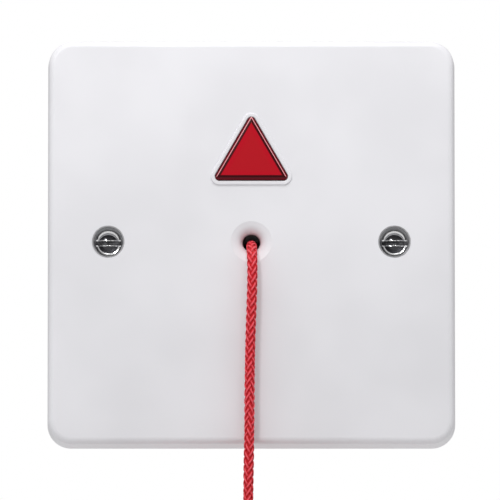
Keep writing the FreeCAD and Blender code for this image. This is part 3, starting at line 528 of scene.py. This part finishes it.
def skin(bm, rings, turns=None, marks=None, closed=False):
    """Joins rings of points with faces and closes the two ends. turns are the rings' distances along
    the piece for its UV map, and marks are (layer name, a value for each ring)."""
    uv = bm.loops.layers.uv.get("braid") or bm.loops.layers.uv.new("braid")
    layers = {name: bm.verts.layers.float.get(name) or bm.verts.layers.float.new(name) for name in marks or {}}
    made = []
    for row, ring in enumerate(rings):
        verts = [bm.verts.new(place) for place in ring]
        for name, layer in layers.items():
            for vert in verts:
                vert[layer] = marks[name][row]
        made.append(verts)
    count = len(rings[0])
    pairs = list(zip(range(len(made) - 1), range(1, len(made))))
    if closed:
        pairs.append((len(made) - 1, 0))
    for near, far in pairs:
        for i in range(count):
            j = (i + 1) % count
            face = bm.faces.new((made[near][i], made[near][j], made[far][j], made[far][i]))
            if turns:
                ends = (turns[near], turns[near], turns[far] if far else turns[-1], turns[far] if far else turns[-1])
                for loop, around, along in zip(face.loops, (i, i + 1, i + 1, i), ends):
                    loop[uv].uv = (around / count, along)
    if not closed:
        bm.faces.new(made[0][::-1])
        bm.faces.new(made[-1])


def spline_points(control):
    """Points read from the smooth spline that has these control points."""
    curve = bpy.data.curves.new("route", "CURVE")
    curve.dimensions = "3D"
    curve.resolution_u = 8
    spline = curve.splines.new("NURBS")
    spline.points.add(len(control) - 1)
    for point, place in zip(spline.points, control):
        point.co = (*place, 1)
    spline.order_u = 3
    spline.use_endpoint_u = True
    route = bpy.data.objects.new("route", curve)
    mesh = bpy.data.meshes.new_from_object(route)
    places = [vert.co.copy() for vert in mesh.vertices]
    bpy.data.meshes.remove(mesh)
    bpy.data.objects.remove(route)
    bpy.data.curves.remove(curve)
    return places


class Line:
    """A smooth line to sweep along: places at even steps and, at each, the way along and two ways across
    that don't twist."""

    def __init__(self, places, step):
        lengths = [0.0]
        for near, far in zip(places, places[1:]):
            lengths.append(lengths[-1] + (far - near).length)
        self.length = lengths[-1]
        count = max(2, round(self.length / step))
        self.step = self.length / count
        self.places, at = [], 0
        for i in range(count + 1):
            wanted = min(i * self.step, self.length)
            while at < len(lengths) - 2 and lengths[at + 1] < wanted:
                at += 1
            share = (wanted - lengths[at]) / max(lengths[at + 1] - lengths[at], 1e-12)
            self.places.append(places[at].lerp(places[at + 1], share))
        self.along = []
        for i in range(count + 1):
            near, far = self.places[max(i - 1, 0)], self.places[min(i + 1, count)]
            self.along.append((far - near).normalized())
        side = self.along[0].orthogonal().normalized()
        self.across = []
        for i, along in enumerate(self.along):
            if i:
                side = self.along[i - 1].rotation_difference(along) @ side
                side = (side - along * side.dot(along)).normalized()
            self.across.append((side.copy(), along.cross(side)))

    def span(self, start, end):
        """The numbers of the steps between two distances along the line."""
        last = len(self.places) - 1
        return range(max(0, round(start / self.step)), min(last, round(end / self.step)) + 1)

    def distance_where(self, test):
        """How far along the line the first place that passes the test is."""
        return next(i for i, place in enumerate(self.places) if test(place)) * self.step


def ring_round(line, i, radius, sides):
    first, second = line.across[i]
    turns = [2 * math.pi * k / sides for k in range(sides)]
    return [line.places[i] + (first * math.cos(t) + second * math.sin(t)) * radius for t in turns]


def tube(bm, line, radius, sides, steps=None, closed=False):
    steps = steps or range(len(line.places))
    rings = [ring_round(line, i, radius, sides) for i in steps]
    skin(bm, rings, turns=[i * line.step for i in steps], closed=closed)


def braid(bm, line, steps, cord, twist):
    """Yarns that wind round the line both ways, each over two of the other hand and under two, in
    columns that lean one way and the other. twist turns the braid along the line."""
    outer, lay, yarns = cord.diameter * 0.54, cord.lay, cord.yarns
    half_thick, weave = outer * 0.17, outer * 0.12
    middle_r = outer - half_thick - weave
    lean = math.atan2(2 * math.pi * middle_r, lay)
    half_wide = 0.64 * math.pi * middle_r * math.cos(lean) / yarns
    for hand in (-1, 1):
        for yarn in range(yarns):
            rings, along, standing = [], [], []
            for i in steps:
                s = i * line.step
                turned = hand * 2 * math.pi * s / lay + 2 * math.pi * yarn / yarns
                wave = hand * math.cos(yarns / 2 * (turned - math.pi / 2 / yarns))
                level = math.tanh(1.6 * wave) / math.tanh(1.6)
                radius = middle_r + weave * level
                first, second = line.across[i]
                ring = []
                for k in range(6):
                    wide, thick = half_wide * math.cos(math.pi * k / 3), half_thick * math.sin(math.pi * k / 3)
                    angle = turned + twist(s) + wide * math.cos(lean) / radius
                    out = first * math.cos(angle) + second * math.sin(angle)
                    sink = line.along[i] * (-hand * wide * math.sin(lean))
                    ring.append(line.places[i] + out * (radius + thick) + sink)
                rings.append(ring)
                along.append(s)
                standing.append(0.5 + 0.5 * level)
            marks = {"standing": standing, "yarn": [yarn + (hand > 0) * 0.5] * len(rings)}
            skin(bm, rings, turns=along, marks=marks)


def hank_turns(waist, diameter):
    """Control points of the put-away cord: long turns in columns and rows round the waist, each
    pinched in under the tie. They start and end at the waist, in the middle layer."""
    half_run = HANK_RUN / 2
    rows = [row + 1 for row in range(HANK_ROWS_EACH_SIDE)]
    order = []
    for column in range(HANK_COLUMNS):
        order += [(column, row) for row in (rows if column % 2 == 0 else rows[::-1])]
    for column in reversed(range(HANK_COLUMNS)):
        order += [(column, -row) for row in (rows if column % 2 else rows[::-1])]
    if order[-1][1] != -1:
        order[-HANK_ROWS_EACH_SIDE:] = order[-HANK_ROWS_EACH_SIDE:][::-1]

    def place(across, up, row):
        return waist + Vector((across, row * diameter, up))

    def run(side, radius, row, shares):
        points = []
        for share in shares:
            pinch = HANK_PINCH * (0.5 + 0.5 * math.cos(math.pi * share))
            points.append(place(side * (radius - pinch), share * half_run, row))
        return points

    def end(up, start_side, radius, row):
        points = []
        for k in range(round(math.pi / TURN_STEP)):
            turn = (k + 0.5) * TURN_STEP
            reach = radius / math.cos(TURN_STEP / 2)
            points.append(place(start_side * reach * math.cos(turn), up * (half_run + reach * math.sin(turn)), row))
        return points

    points, last_across, last_row = [], 0.0, 0
    for column, row in order:
        radius = HANK_INNER_TURN_R + column * diameter
        across = -(radius - HANK_PINCH)
        points.append(place((across + last_across) / 2, 0, (row + last_row) / 2))
        points += run(-1, radius, row, (-0.35, -0.7))
        points += end(-1, -1, radius, row)
        points += run(1, radius, row, (-0.7, -0.35, 0, 0.35, 0.7))
        points += end(1, 1, radius, row)
        points += run(-1, radius, row, (0.7, 0.35))
        last_across, last_row = across, row
    points.append(place(last_across / 2, 0, last_row / 2))
    return points


def knot_line(centre, axis, size, height):
    """A closed overhand knot round the axis."""
    turn = Vector((0, 0, 1)).rotation_difference(Vector(axis))
    places = []
    for k in range(121):
        t = 2 * math.pi * k / 120
        out = size * 0.63 + size * 0.37 * math.cos(3 * t)
        places.append(centre + turn @ Vector((out * math.cos(2 * t), out * math.sin(2 * t), height * math.sin(3 * t))))
    return places


def rounded_triangle(bm, inradius, corner, y, middle_z):
    """A triangle that stands on its base, with rounded corners. Returns its face and its edges."""
    ways = [math.radians(90 + 120 * k) for k in range(3)]
    reach = 2 * inradius
    verts = [bm.verts.new((reach * math.cos(way), y, middle_z + reach * math.sin(way))) for way in ways]
    known = set(bm.faces)
    bm.faces.new(verts)
    bmesh.ops.bevel(
        bm, geom=verts, offset=corner * math.sqrt(3), affect="VERTICES", segments=6, profile=0.5, material=-1
    )
    face = next(face for face in bm.faces if face not in known)
    return face, list(face.edges)


def triangular_button(bm, levels, middle_z):
    """Joins rounded triangles of (inradius, corner, y), from the back to the front."""
    faces, last = [], None
    for inradius, corner, y in levels:
        face, edges = rounded_triangle(bm, inradius, corner, y, middle_z)
        if last:
            bmesh.ops.bridge_loops(bm, edges=last + edges)
        faces.append(face)
        last = edges
    bmesh.ops.delete(bm, geom=faces[1:-1], context="FACES_ONLY")
    bmesh.ops.recalc_face_normals(bm, faces=bm.faces)


def turned_shape(bm, profile, x, steps=48):
    """Spins (radius, y) points round the axis of a fixing. They start and end on it."""
    verts = [bm.verts.new((x + radius, y, 0)) for radius, y in profile]
    edges = [bm.edges.new(pair) for pair in zip(verts, verts[1:])]
    bmesh.ops.spin(
        bm, geom=verts + edges, cent=(x, 0, 0), axis=(0, 1, 0), angle=2 * math.pi, steps=steps, use_merge=True
    )
    bmesh.ops.remove_doubles(bm, verts=bm.verts, dist=1e-7)
    bmesh.ops.recalc_face_normals(bm, faces=bm.faces)


def cut_slot(bm, x, look, rim_y, floor_y, head_r):
    """Sinks a screwdriver slot across the head, open at both ends, with broken edges."""
    half = look.slot / 2

    def front(reach):
        middles = ((face, face.calc_center_median()) for face in bm.faces)
        return [face for face, middle in middles if middle.y < rim_y + 1e-6 and abs(middle.z) < reach]

    for z in (-half - look.slot_edge, -half, half, half + look.slot_edge):
        geom = list({item for face in front(head_r) for item in (face, *face.edges, *face.verts)})
        bmesh.ops.bisect_plane(bm, geom=geom, dist=1e-7, plane_co=(x, 0, z), plane_no=(0, 0, 1))
    band = front(half)
    lips = {vert for face in band for vert in face.verts if abs(abs(vert.co.z) - half) < 1e-7}
    made = bmesh.ops.extrude_face_region(bm, geom=band)
    bmesh.ops.delete(bm, geom=band, context="FACES")
    for vert in (item for item in made["geom"] if isinstance(item, bmesh.types.BMVert)):
        floor_r = head_r - max(0.0, floor_y - rim_y)
        out = math.hypot(vert.co.x - x, vert.co.z)
        if out > floor_r:
            reach = math.sqrt(max(0.0, floor_r ** 2 - vert.co.z ** 2))
            vert.co.x = x + math.copysign(reach, vert.co.x - x)
        vert.co.y = floor_y
    for vert in lips:
        vert.co.y += look.slot_edge * 0.4
    bmesh.ops.recalc_face_normals(bm, faces=bm.faces)


def screw_thread(bm, x, start, end, root_r, crest_r, pitch, steps=18):
    """Winds a thread's ridge round the shank, and tapers it away at the tip."""
    places = [(root_r, 0), (crest_r, 0.36), (crest_r, 0.46), (root_r, 0.82)]
    verts = [bm.verts.new((x + radius, start + share * pitch, 0)) for radius, share in places]
    ridge = bm.faces.new(verts)
    turns = int((end - start) / pitch) - 1
    before = set(bm.verts) - set(verts)
    bmesh.ops.spin(
        bm, geom=[ridge], cent=(x, 0, 0), axis=(0, 1, 0), dvec=(0, pitch / steps, 0),
        angle=2 * math.pi * turns, steps=steps * turns,
    )
    for vert in (vert for vert in bm.verts if vert not in before):
        out = math.hypot(vert.co.x - x, vert.co.z)
        most = root_r + max(0.0, end - vert.co.y) * 0.6
        if out > most:
            vert.co.x, vert.co.z = x + (vert.co.x - x) * most / out, vert.co.z * most / out
    bmesh.ops.holes_fill(bm, edges=[edge for edge in bm.edges if edge.is_boundary], sides=4)
    bmesh.ops.recalc_face_normals(bm, faces=bm.faces)


# Operators


class ALARM_OT_stage(bpy.types.Operator):
    """Camera at the photograph's angle, soft studio light and a pale floor"""

    bl_idname = "alarm.stage"
    bl_label = "Stage"

    def execute(self, context):
        scene = context.scene
        scene.view_settings.view_transform = "Standard"
        distance, below = 2.4, math.radians(7)
        target = Vector((-0.000285, -0.0083, -0.0018))
        camera = bpy.data.objects.new("photo_camera", bpy.data.cameras.new("photo_camera"))
        camera.data.sensor_width = 36
        camera.data.lens = 36 * distance / 0.1053
        camera.data.clip_start = 0.01
        back = Vector((0, -math.cos(below), -math.sin(below)))
        camera.location = target + back * distance
        camera.rotation_mode = "QUATERNION"
        camera.rotation_quaternion = (-back).to_track_quat("-Z", "Y")
        scene.collection.objects.link(camera)
        scene.camera = camera

        self.area_light(scene, "key_light", (-0.005, -0.165, 0.26), 0.18, 0.49)
        self.area_light(scene, "side_light", (-0.4, -1.195, 0.566), 0.2, 4.0)
        self.surroundings(scene)

        bm = bmesh.new()
        bmesh.ops.create_grid(bm, x_segments=2, y_segments=2, size=40.0, matrix=Matrix.Translation((0, 0, -2.985)))
        mesh = bpy.data.meshes.new("studio_floor")
        bm.to_mesh(mesh)
        bm.free()
        floor_finish = Finish("pale floor", Roughness=0.8, Emission_Color=(1, 1, 1, 1), Emission_Strength=0.12)
        mottle = floor_finish.noise(floor_finish.place(), 6.0)
        mesh.materials.append(
            floor_finish.shade(Base_Color=floor_finish.mix(mottle, (0.93, 0.93, 0.93), (0.96, 0.96, 0.96)))
        )
        floor = bpy.data.objects.new("studio_floor", mesh)
        scene.collection.objects.link(floor)
        return {"FINISHED"}

    def area_light(self, scene, name, place, size, power):
        lamp = bpy.data.lights.new(name, "AREA")
        lamp.shape, lamp.size, lamp.energy = "DISK", size, power
        light = bpy.data.objects.new(name, lamp)
        light.visible_camera = False
        light.location = place
        light.rotation_mode = "QUATERNION"
        light.rotation_quaternion = (-Vector(place)).to_track_quat("-Z", "Y")
        scene.collection.objects.link(light)

    def surroundings(self, scene):
        """A white tent, open and dim behind the camera, against a white backdrop."""
        world = bpy.data.worlds.new("studio")
        world.use_nodes = True
        scene.world = world
        tree = world.node_tree
        tree.nodes.clear()

        def node(kind, **inputs):
            made = tree.nodes.new(kind)
            for name, value in inputs.items():
                socket = made.inputs[name.replace("_", " ")]
                if isinstance(value, bpy.types.NodeSocket):
                    tree.links.new(value, socket)
                else:
                    socket.default_value = value
            return made

        way = node("ShaderNodeTexCoord").outputs["Generated"]
        parts = node("ShaderNodeSeparateXYZ", Vector=way)
        ring = node("ShaderNodeMapRange", Value=parts.outputs["Y"], From_Min=-0.95, From_Max=-0.78, To_Min=0.03, To_Max=0.86)
        height = node(
            "ShaderNodeMapRange", Value=parts.outputs["Z"], From_Min=-0.8, From_Max=0.8, To_Min=0.5, To_Max=1.0
        )
        strength = node("ShaderNodeMath")
        strength.operation = "MULTIPLY"
        tree.links.new(ring.outputs[0], strength.inputs[0])
        tree.links.new(height.outputs[0], strength.inputs[1])
        tent = node("ShaderNodeBackground", Strength=strength.outputs[0])
        backdrop = node("ShaderNodeBackground", Color=(1, 1, 1, 1), Strength=1.0)
        seen = node("ShaderNodeLightPath").outputs["Is Camera Ray"]
        mixed = node("ShaderNodeMixShader", Fac=seen)
        tree.links.new(tent.outputs[0], mixed.inputs[1])
        tree.links.new(backdrop.outputs[0], mixed.inputs[2])
        node("ShaderNodeOutputWorld", Surface=mixed.outputs[0])


class ALARM_OT_cord(bpy.types.Operator):
    """The braided cord from the plunger to the lower pull, its put-away hank and its knots"""

    bl_idname = "alarm.cord"
    bl_label = "Cord"

    def execute(self, context):
        cord = context.scene.alarm.cord
        yarn_red = braided_yarn("braided yarn", cord.red)
        tube_red = braided_tube("braided cord", cord.red, cord.lay, cord.yarns)
        core_red = moulded("cord core", tuple(c * k for c, k in zip(cord.red, (1.1, 0.05, 0.25))), 0.0004, 0.7)
        low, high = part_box("cord_hank")
        hang = Vector(CORD_ROUTE[-1])
        waist = Vector((hang.x, hang.y, (low.z + high.z) / 2))
        tail_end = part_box("cord_tail")[0].z
        half_run = HANK_RUN / 2

        control = [Vector(place) for place in CORD_ROUTE]
        control += [Vector((hang.x, hang.y, waist.z + up)) for up in (20 * MM, 0.8 * half_run, 0.4 * half_run)]
        control += hank_turns(waist, cord.diameter)
        control += [Vector((hang.x, hang.y, waist.z - down)) for down in (0.4 * half_run, 0.8 * half_run, 20 * MM)]
        control += [Vector((hang.x, hang.y, z)) for z in (low.z, (low.z + tail_end) / 2, tail_end)]
        path = spline_points(control)
        line = Line(path, cord.lay / 33)
        print(f"cord {line.length:.4f} m")

        top = line.distance_where(lambda place: place.z < high.z - 2 * MM)
        bottom = line.length - (low.z + 2 * MM - tail_end)
        # Seen from the front, the column that leans "/" starts right of the middle and drifts to its left
        drift_start = line.distance_where(lambda place: place.z < -6 * MM)
        first, second = line.across[round((drift_start + 15 * MM) / line.step)]
        front = math.atan2(-second.y, -first.y) - math.pi / 2 / cord.yarns

        def twist(s):
            down = max(-5.0, (s - drift_start) / MM)
            quick = min(max(0.0, down - 10), 26.0)
            return front + math.radians(-22 + 0.7 * down + 0.1 * quick ** 2 + 3.2 * max(0.0, down - 36))

        bm = bmesh.new()
        braid(bm, line, line.span(0, top), cord, twist)
        braid(bm, line, line.span(bottom, line.length), cord, lambda s: 0)
        count = len(bm.faces)
        for span in (line.span(0, top), line.span(bottom, line.length)):
            tube(bm, line, cord.diameter * 0.36, 10, steps=span)
        inner = len(bm.faces)
        coarse = [i for i in line.span(top - 1 * MM, bottom + 1 * MM) if i % 3 == 0]
        tube(bm, line, cord.diameter / 2, 10, steps=coarse)
        bm.faces.ensure_lookup_table()
        for number, face in enumerate(bm.faces[count:], count):
            face.material_index = 1 if number >= inner else 2
        bmesh.ops.recalc_face_normals(bm, faces=bm.faces)
        piece = add_piece(
            "braided_cord", bm, [yarn_red, tube_red, core_red], "pull_plunger",
            ["pull_cord", "cord_hank", "cord_tail"], crease=80,
        )

        knots = [self.knot(name, way, tube_red) for name, way in
                 (("stop_knot", (0, 1, 0)), ("upper_knot", (0, 0, 1)), ("lower_knot", (0, 0, 1)))]
        return {"FINISHED"}

    def knot(self, node, way, material):
        low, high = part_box(node)
        size = min(high.x - low.x, high.z - low.z) / 2 if way[1] else (high.x - low.x) / 2
        tall = (high - low).dot(Vector(way)) / 2
        yarn_r = 0.8 * MM
        line = Line(knot_line((low + high) / 2, way, size - yarn_r, tall - yarn_r), 0.3 * MM)
        bm = bmesh.new()
        tube(bm, line, yarn_r, 10)
        bmesh.ops.recalc_face_normals(bm, faces=bm.faces)
        return add_piece(node + "_tied", bm, [material], "pull_plunger", [node], crease=80)


class ALARM_OT_plate(bpy.types.Operator):
    """The white face plate with its lip and funnel"""

    bl_idname = "alarm.plate"
    bl_label = "Plate"

    def execute(self, context):
        plate = context.scene.alarm.plate
        white = moulded("moulded white", plate.white, plate.grain, 0.36, 0.0000015, Specular_IOR_Level=0.5)
        paint(white, "faceplate")
        return {"FINISHED"}


class ALARM_OT_indicator(bpy.types.Operator):
    """The red triangular lens, the light behind it and its shroud"""

    bl_idname = "alarm.indicator"
    bl_label = "Indicator"

    def execute(self, context):
        look = context.scene.alarm.indicator
        low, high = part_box("indicator_lens")
        middle_z = low.z + look.inradius + LENS_FLANGE
        front_y, flange_y = low.y, high.y - LENS_FLANGE_T
        full, corner, end = look.inradius, look.corner, look.inradius - look.chamfer
        ridge_out = full - 0.39 * MM
        red = tinted_lens("red lens", look, ridge_out, middle_z)
        bm = bmesh.new()
        levels = [
            (full + LENS_FLANGE, corner + LENS_FLANGE, high.y),
            (full + LENS_FLANGE, corner + LENS_FLANGE, flange_y),
            (full, corner, flange_y),
            (full, corner, front_y + 0.5 * MM),
            (ridge_out + 0.07 * MM, corner - 0.26 * MM, front_y + 0.26 * MM),
            (ridge_out, corner - 0.31 * MM, front_y + 0.21 * MM),
            (ridge_out - 0.07 * MM, corner - 0.37 * MM, front_y + 0.2 * MM),
            (end + 0.07 * MM, 0.18 * MM, front_y + 0.05 * MM),
            (end, 0.15 * MM, front_y),
        ]
        triangular_button(bm, levels, middle_z)
        add_piece("lens_button", bm, [red], "wall_plate", ["indicator_lens"], crease=12)
        resin = Finish("led resin", Roughness=0.1)
        base_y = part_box("indicator_led")[0].y + LED_LENGTH
        slow = resin.noise(resin.place(), 900.0)
        lead = resin.rise(resin.parts(resin.place())[1], base_y, base_y + 0.00005)
        body = resin.mix(slow, (0.5, 0.03, 0.03), (0.7, 0.06, 0.05))
        paint(
            resin.shade(Base_Color=resin.mix(lead, body, (0.66, 0.65, 0.62)), Metallic=lead, Coat_Weight=0.8 - lead * 0.8),
            "indicator_led",
        )
        paint(moulded("white inner moulding", (0.8, 0.8, 0.79), 0.0008, 0.5), "light_shroud")
        return {"FINISHED"}


class ALARM_OT_fixings(bpy.types.Operator):
    """The pressed eyelets and the slotted screws that hold the plate"""

    bl_idname = "alarm.fixings"
    bl_label = "Fixings"

    def execute(self, context):
        look = context.scene.alarm.fixings
        low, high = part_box("fixing_screw_right")
        half_centres = (low.x + high.x) / 2
        eyelet = turned_metal("turned eyelet", look.eyelet_grey, 0.42, half_centres, 0.0009, 0.00001, Metallic=0.8)
        screw = slotted_head("polished nickel", look, half_centres, low.y, (high.x - low.x) / 2)
        paint(eyelet, "fixing_eyelet_left", "fixing_eyelet_right")
        for side in ("left", "right"):
            self.screw("fixing_screw_" + side, screw, look)
        return {"FINISHED"}

    def screw(self, node, nickel, look):
        low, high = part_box(node)
        x, head_r = (low.x + high.x) / 2, (high.x - low.x) / 2
        top_y, rim_y = low.y, low.y + HEAD_RISE
        crest_r = NECK_R + 0.2 * MM
        root_r = crest_r - 0.6 * look.pitch
        dome_end = head_r - look.rim
        dome = [(dome_end * k / 10, top_y + DOME_RISE * (k / 10) ** 2) for k in range(11)]
        shank = [
            (dome_end + 0.05 * MM, rim_y), (head_r - 0.1 * MM, rim_y - 0.14 * MM),
            (head_r - 0.03 * MM, rim_y - 0.13 * MM), (head_r, rim_y - 0.06 * MM), (head_r, rim_y),
            (NECK_R, rim_y + head_r - NECK_R), (NECK_R, -0.5 * MM), (root_r, -0.3 * MM),
            (root_r, high.y - 0.5 * MM), (root_r - 0.5 * MM, high.y), (0, high.y),
        ]
        bm = bmesh.new()
        turned_shape(bm, dome + shank, x)
        cut_slot(bm, x, look, rim_y + 0.02 * MM, top_y + SLOT_DEPTH, head_r)
        screw_thread(bm, x, -0.2 * MM, high.y - 0.3 * MM, root_r - 0.02 * MM, crest_r, look.pitch)
        add_piece(node.replace("fixing_screw", "slotted_screw"), bm, [nickel], "wall_plate", [node])


class ALARM_OT_pulls(bpy.types.Operator):
    """The two red triangular pulls and the tie round the put-away cord"""

    bl_idname = "alarm.pulls"
    bl_label = "Pulls"

    def execute(self, context):
        red = moulded("moulded red", context.scene.alarm.pulls.red, 0.0009, 0.3, 0.000002, Coat_Weight=0.15)
        paint(red, "upper_pull", "lower_pull")
        tie = Finish("white tie", Roughness=0.6)
        place = tie.place()
        _, _, z = tie.parts(place)
        ribs = tie.math("SINE", z * (2 * math.pi / 0.0008))
        fine = tie.noise(place, 2500.0)
        paint(
            tie.shade(
                Base_Color=tie.mix(fine, (0.74, 0.74, 0.74), (0.84, 0.84, 0.84)),
                Normal=tie.bump(ribs * 0.5 + fine * 0.4, 0.00006),
            ),
            "hank_tie",
        )
        return {"FINISHED"}


class ALARM_OT_board(bpy.types.Operator):
    """The circuit board, its terminals, switch contacts and small components"""

    bl_idname = "alarm.board"
    bl_label = "Circuit board"

    def execute(self, context):
        inside = context.scene.alarm.inside
        pads = []
        for node in ("resistor_1", "resistor_2", "resistor_3", "diode"):
            low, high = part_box(node)
            z = (low.z + high.z) / 2
            pads += [(low.x + 0.3 * MM, z, 0.95 * MM), (high.x - 0.3 * MM, z, 0.95 * MM)]
        for node in ("switch_pin_1", "switch_pin_2", "switch_pin_3"):
            low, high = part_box(node)
            pads.append(((low.x + high.x) / 2, (low.z + high.z) / 2, 1.1 * MM))
        for way in range(1, 5):
            low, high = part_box(f"wire_clamp_{way}")
            pads.append(((low.x + high.x) / 2, (low.z + high.z) / 2, 1.2 * MM))
        tracks = []
        for first, second in zip(pads, pads[2:]):
            tracks.append((first[0], first[1], second[0], first[1], 0.35 * MM))
            tracks.append((second[0], first[1], second[0], second[1], 0.35 * MM))
        paint(solder_mask("green solder mask", inside.board_green, pads, tracks), "circuit_board")

        green = moulded("moulded green", inside.terminal_green, 0.0007, 0.42)
        paint(green, "terminal_block")
        low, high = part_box("resistor_1")
        middle = (low.x + high.x) / 2
        blue = banded(
            "blue resistor", (0.12, 0.3, 0.45), (middle, 3.15 * MM),
            [(middle - 2.2 * MM, 0.3 * MM, (0.15, 0.04, 0.01)), (middle - 0.9 * MM, 0.3 * MM, (0.01, 0.01, 0.01)),
             (middle + 0.3 * MM, 0.3 * MM, (0.45, 0.02, 0.02)), (middle + 2.1 * MM, 0.3 * MM, (0.15, 0.04, 0.01))],
        )
        paint(blue, "resistor_1", "resistor_2", "resistor_3")
        low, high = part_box("diode")
        middle = (low.x + high.x) / 2
        black = banded(
            "black diode", (0.02, 0.02, 0.02), (-middle, 2.5 * MM), [(middle - 1.7 * MM, 0.35 * MM, (0.6, 0.6, 0.6))]
        )
        paint(black, "diode")
        can = moulded("capacitor sleeve", (0.015, 0.015, 0.03), 0.0008, 0.35)
        paint(can, "capacitor")
        steel = metal("zinc-plated steel", (0.68, 0.68, 0.66), 0.28)
        paint(steel, *(f"board_screw_{n}" for n in range(1, 5)), *(f"terminal_screw_{n}" for n in range(1, 5)))
        tinned = metal("tinned brass", (0.7, 0.67, 0.58), 0.3)
        paint(tinned, *(f"wire_clamp_{n}" for n in range(1, 5)), *(f"switch_pin_{n}" for n in range(1, 4)))
        return {"FINISHED"}


class ALARM_OT_mechanism(bpy.types.Operator):
    """The plunger, its housing, spring and clip, and the microswitch that it works"""

    bl_idname = "alarm.mechanism"
    bl_label = "Mechanism"

    def execute(self, context):
        inside = context.scene.alarm.inside
        nylon = moulded("black nylon", inside.black, 0.0006, 0.5, Specular_IOR_Level=0.25)
        paint(nylon, "guide_housing", "switch_body")
        paint(moulded("white acetal", (0.78, 0.78, 0.76), 0.0009, 0.4), "plunger")
        spring = metal("spring steel", (0.6, 0.6, 0.6), 0.25)
        paint(spring, "retaining_clip", "switch_lever")
        coil = NODES["return_spring"]
        bm = bmesh.new()
        bm.from_mesh(coil.data)
        bm.transform(coil.matrix_world)
        bmesh.ops.remove_doubles(bm, verts=bm.verts, dist=1e-7)
        bmesh.ops.recalc_face_normals(bm, faces=bm.faces)
        piece = add_piece("coil_spring", bm, [spring], "wall_plate", ["return_spring"], crease=50)
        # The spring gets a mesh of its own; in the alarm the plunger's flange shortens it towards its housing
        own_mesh(piece)
        paint(moulded("red button", (0.45, 0.015, 0.02), 0.0009, 0.4), "switch_button")
        return {"FINISHED"}


class ALARM_PT_pieces(bpy.types.Panel):
    """Lists what makes each piece of the alarm"""

    bl_label = "Pull cord alarm"
    bl_idname = "ALARM_PT_pieces"
    bl_space_type = "VIEW_3D"
    bl_region_type = "UI"
    bl_category = "Pull Cord"

    def draw(self, context):
        settings = context.scene.alarm
        groups = {
            "alarm.stage": None, "alarm.cord": settings.cord, "alarm.plate": settings.plate,
            "alarm.indicator": settings.indicator, "alarm.fixings": settings.fixings, "alarm.pulls": settings.pulls,
            "alarm.board": settings.inside, "alarm.mechanism": None,
        }
        for operator, group in groups.items():
            box = self.layout.box()
            box.operator(operator)
            for name in getattr(type(group), "__annotations__", ()) if group else ():
                box.prop(group, name)


CLASSES = (
    ALARM_PG_plate,
    ALARM_PG_indicator,
    ALARM_PG_fixings,
    ALARM_PG_cord,
    ALARM_PG_pulls,
    ALARM_PG_inside,
    ALARM_PG_settings,
    ALARM_OT_stage,
    ALARM_OT_cord,
    ALARM_OT_plate,
    ALARM_OT_indicator,
    ALARM_OT_fixings,
    ALARM_OT_pulls,
    ALARM_OT_board,
    ALARM_OT_mechanism,
    ALARM_PT_pieces,
)


def register():
    for cls in CLASSES:
        bpy.utils.register_class(cls)
    bpy.types.Scene.alarm = PointerProperty(type=ALARM_PG_settings)


def unregister():
    del bpy.types.Scene.alarm
    for cls in reversed(CLASSES):
        bpy.utils.unregister_class(cls)


def main():
    register()
    bpy.ops.alarm.stage()
    bpy.ops.alarm.cord()
    bpy.ops.alarm.plate()
    bpy.ops.alarm.indicator()
    bpy.ops.alarm.fixings()
    bpy.ops.alarm.pulls()
    bpy.ops.alarm.board()
    bpy.ops.alarm.mechanism()


if __name__ == "__main__":
    main()
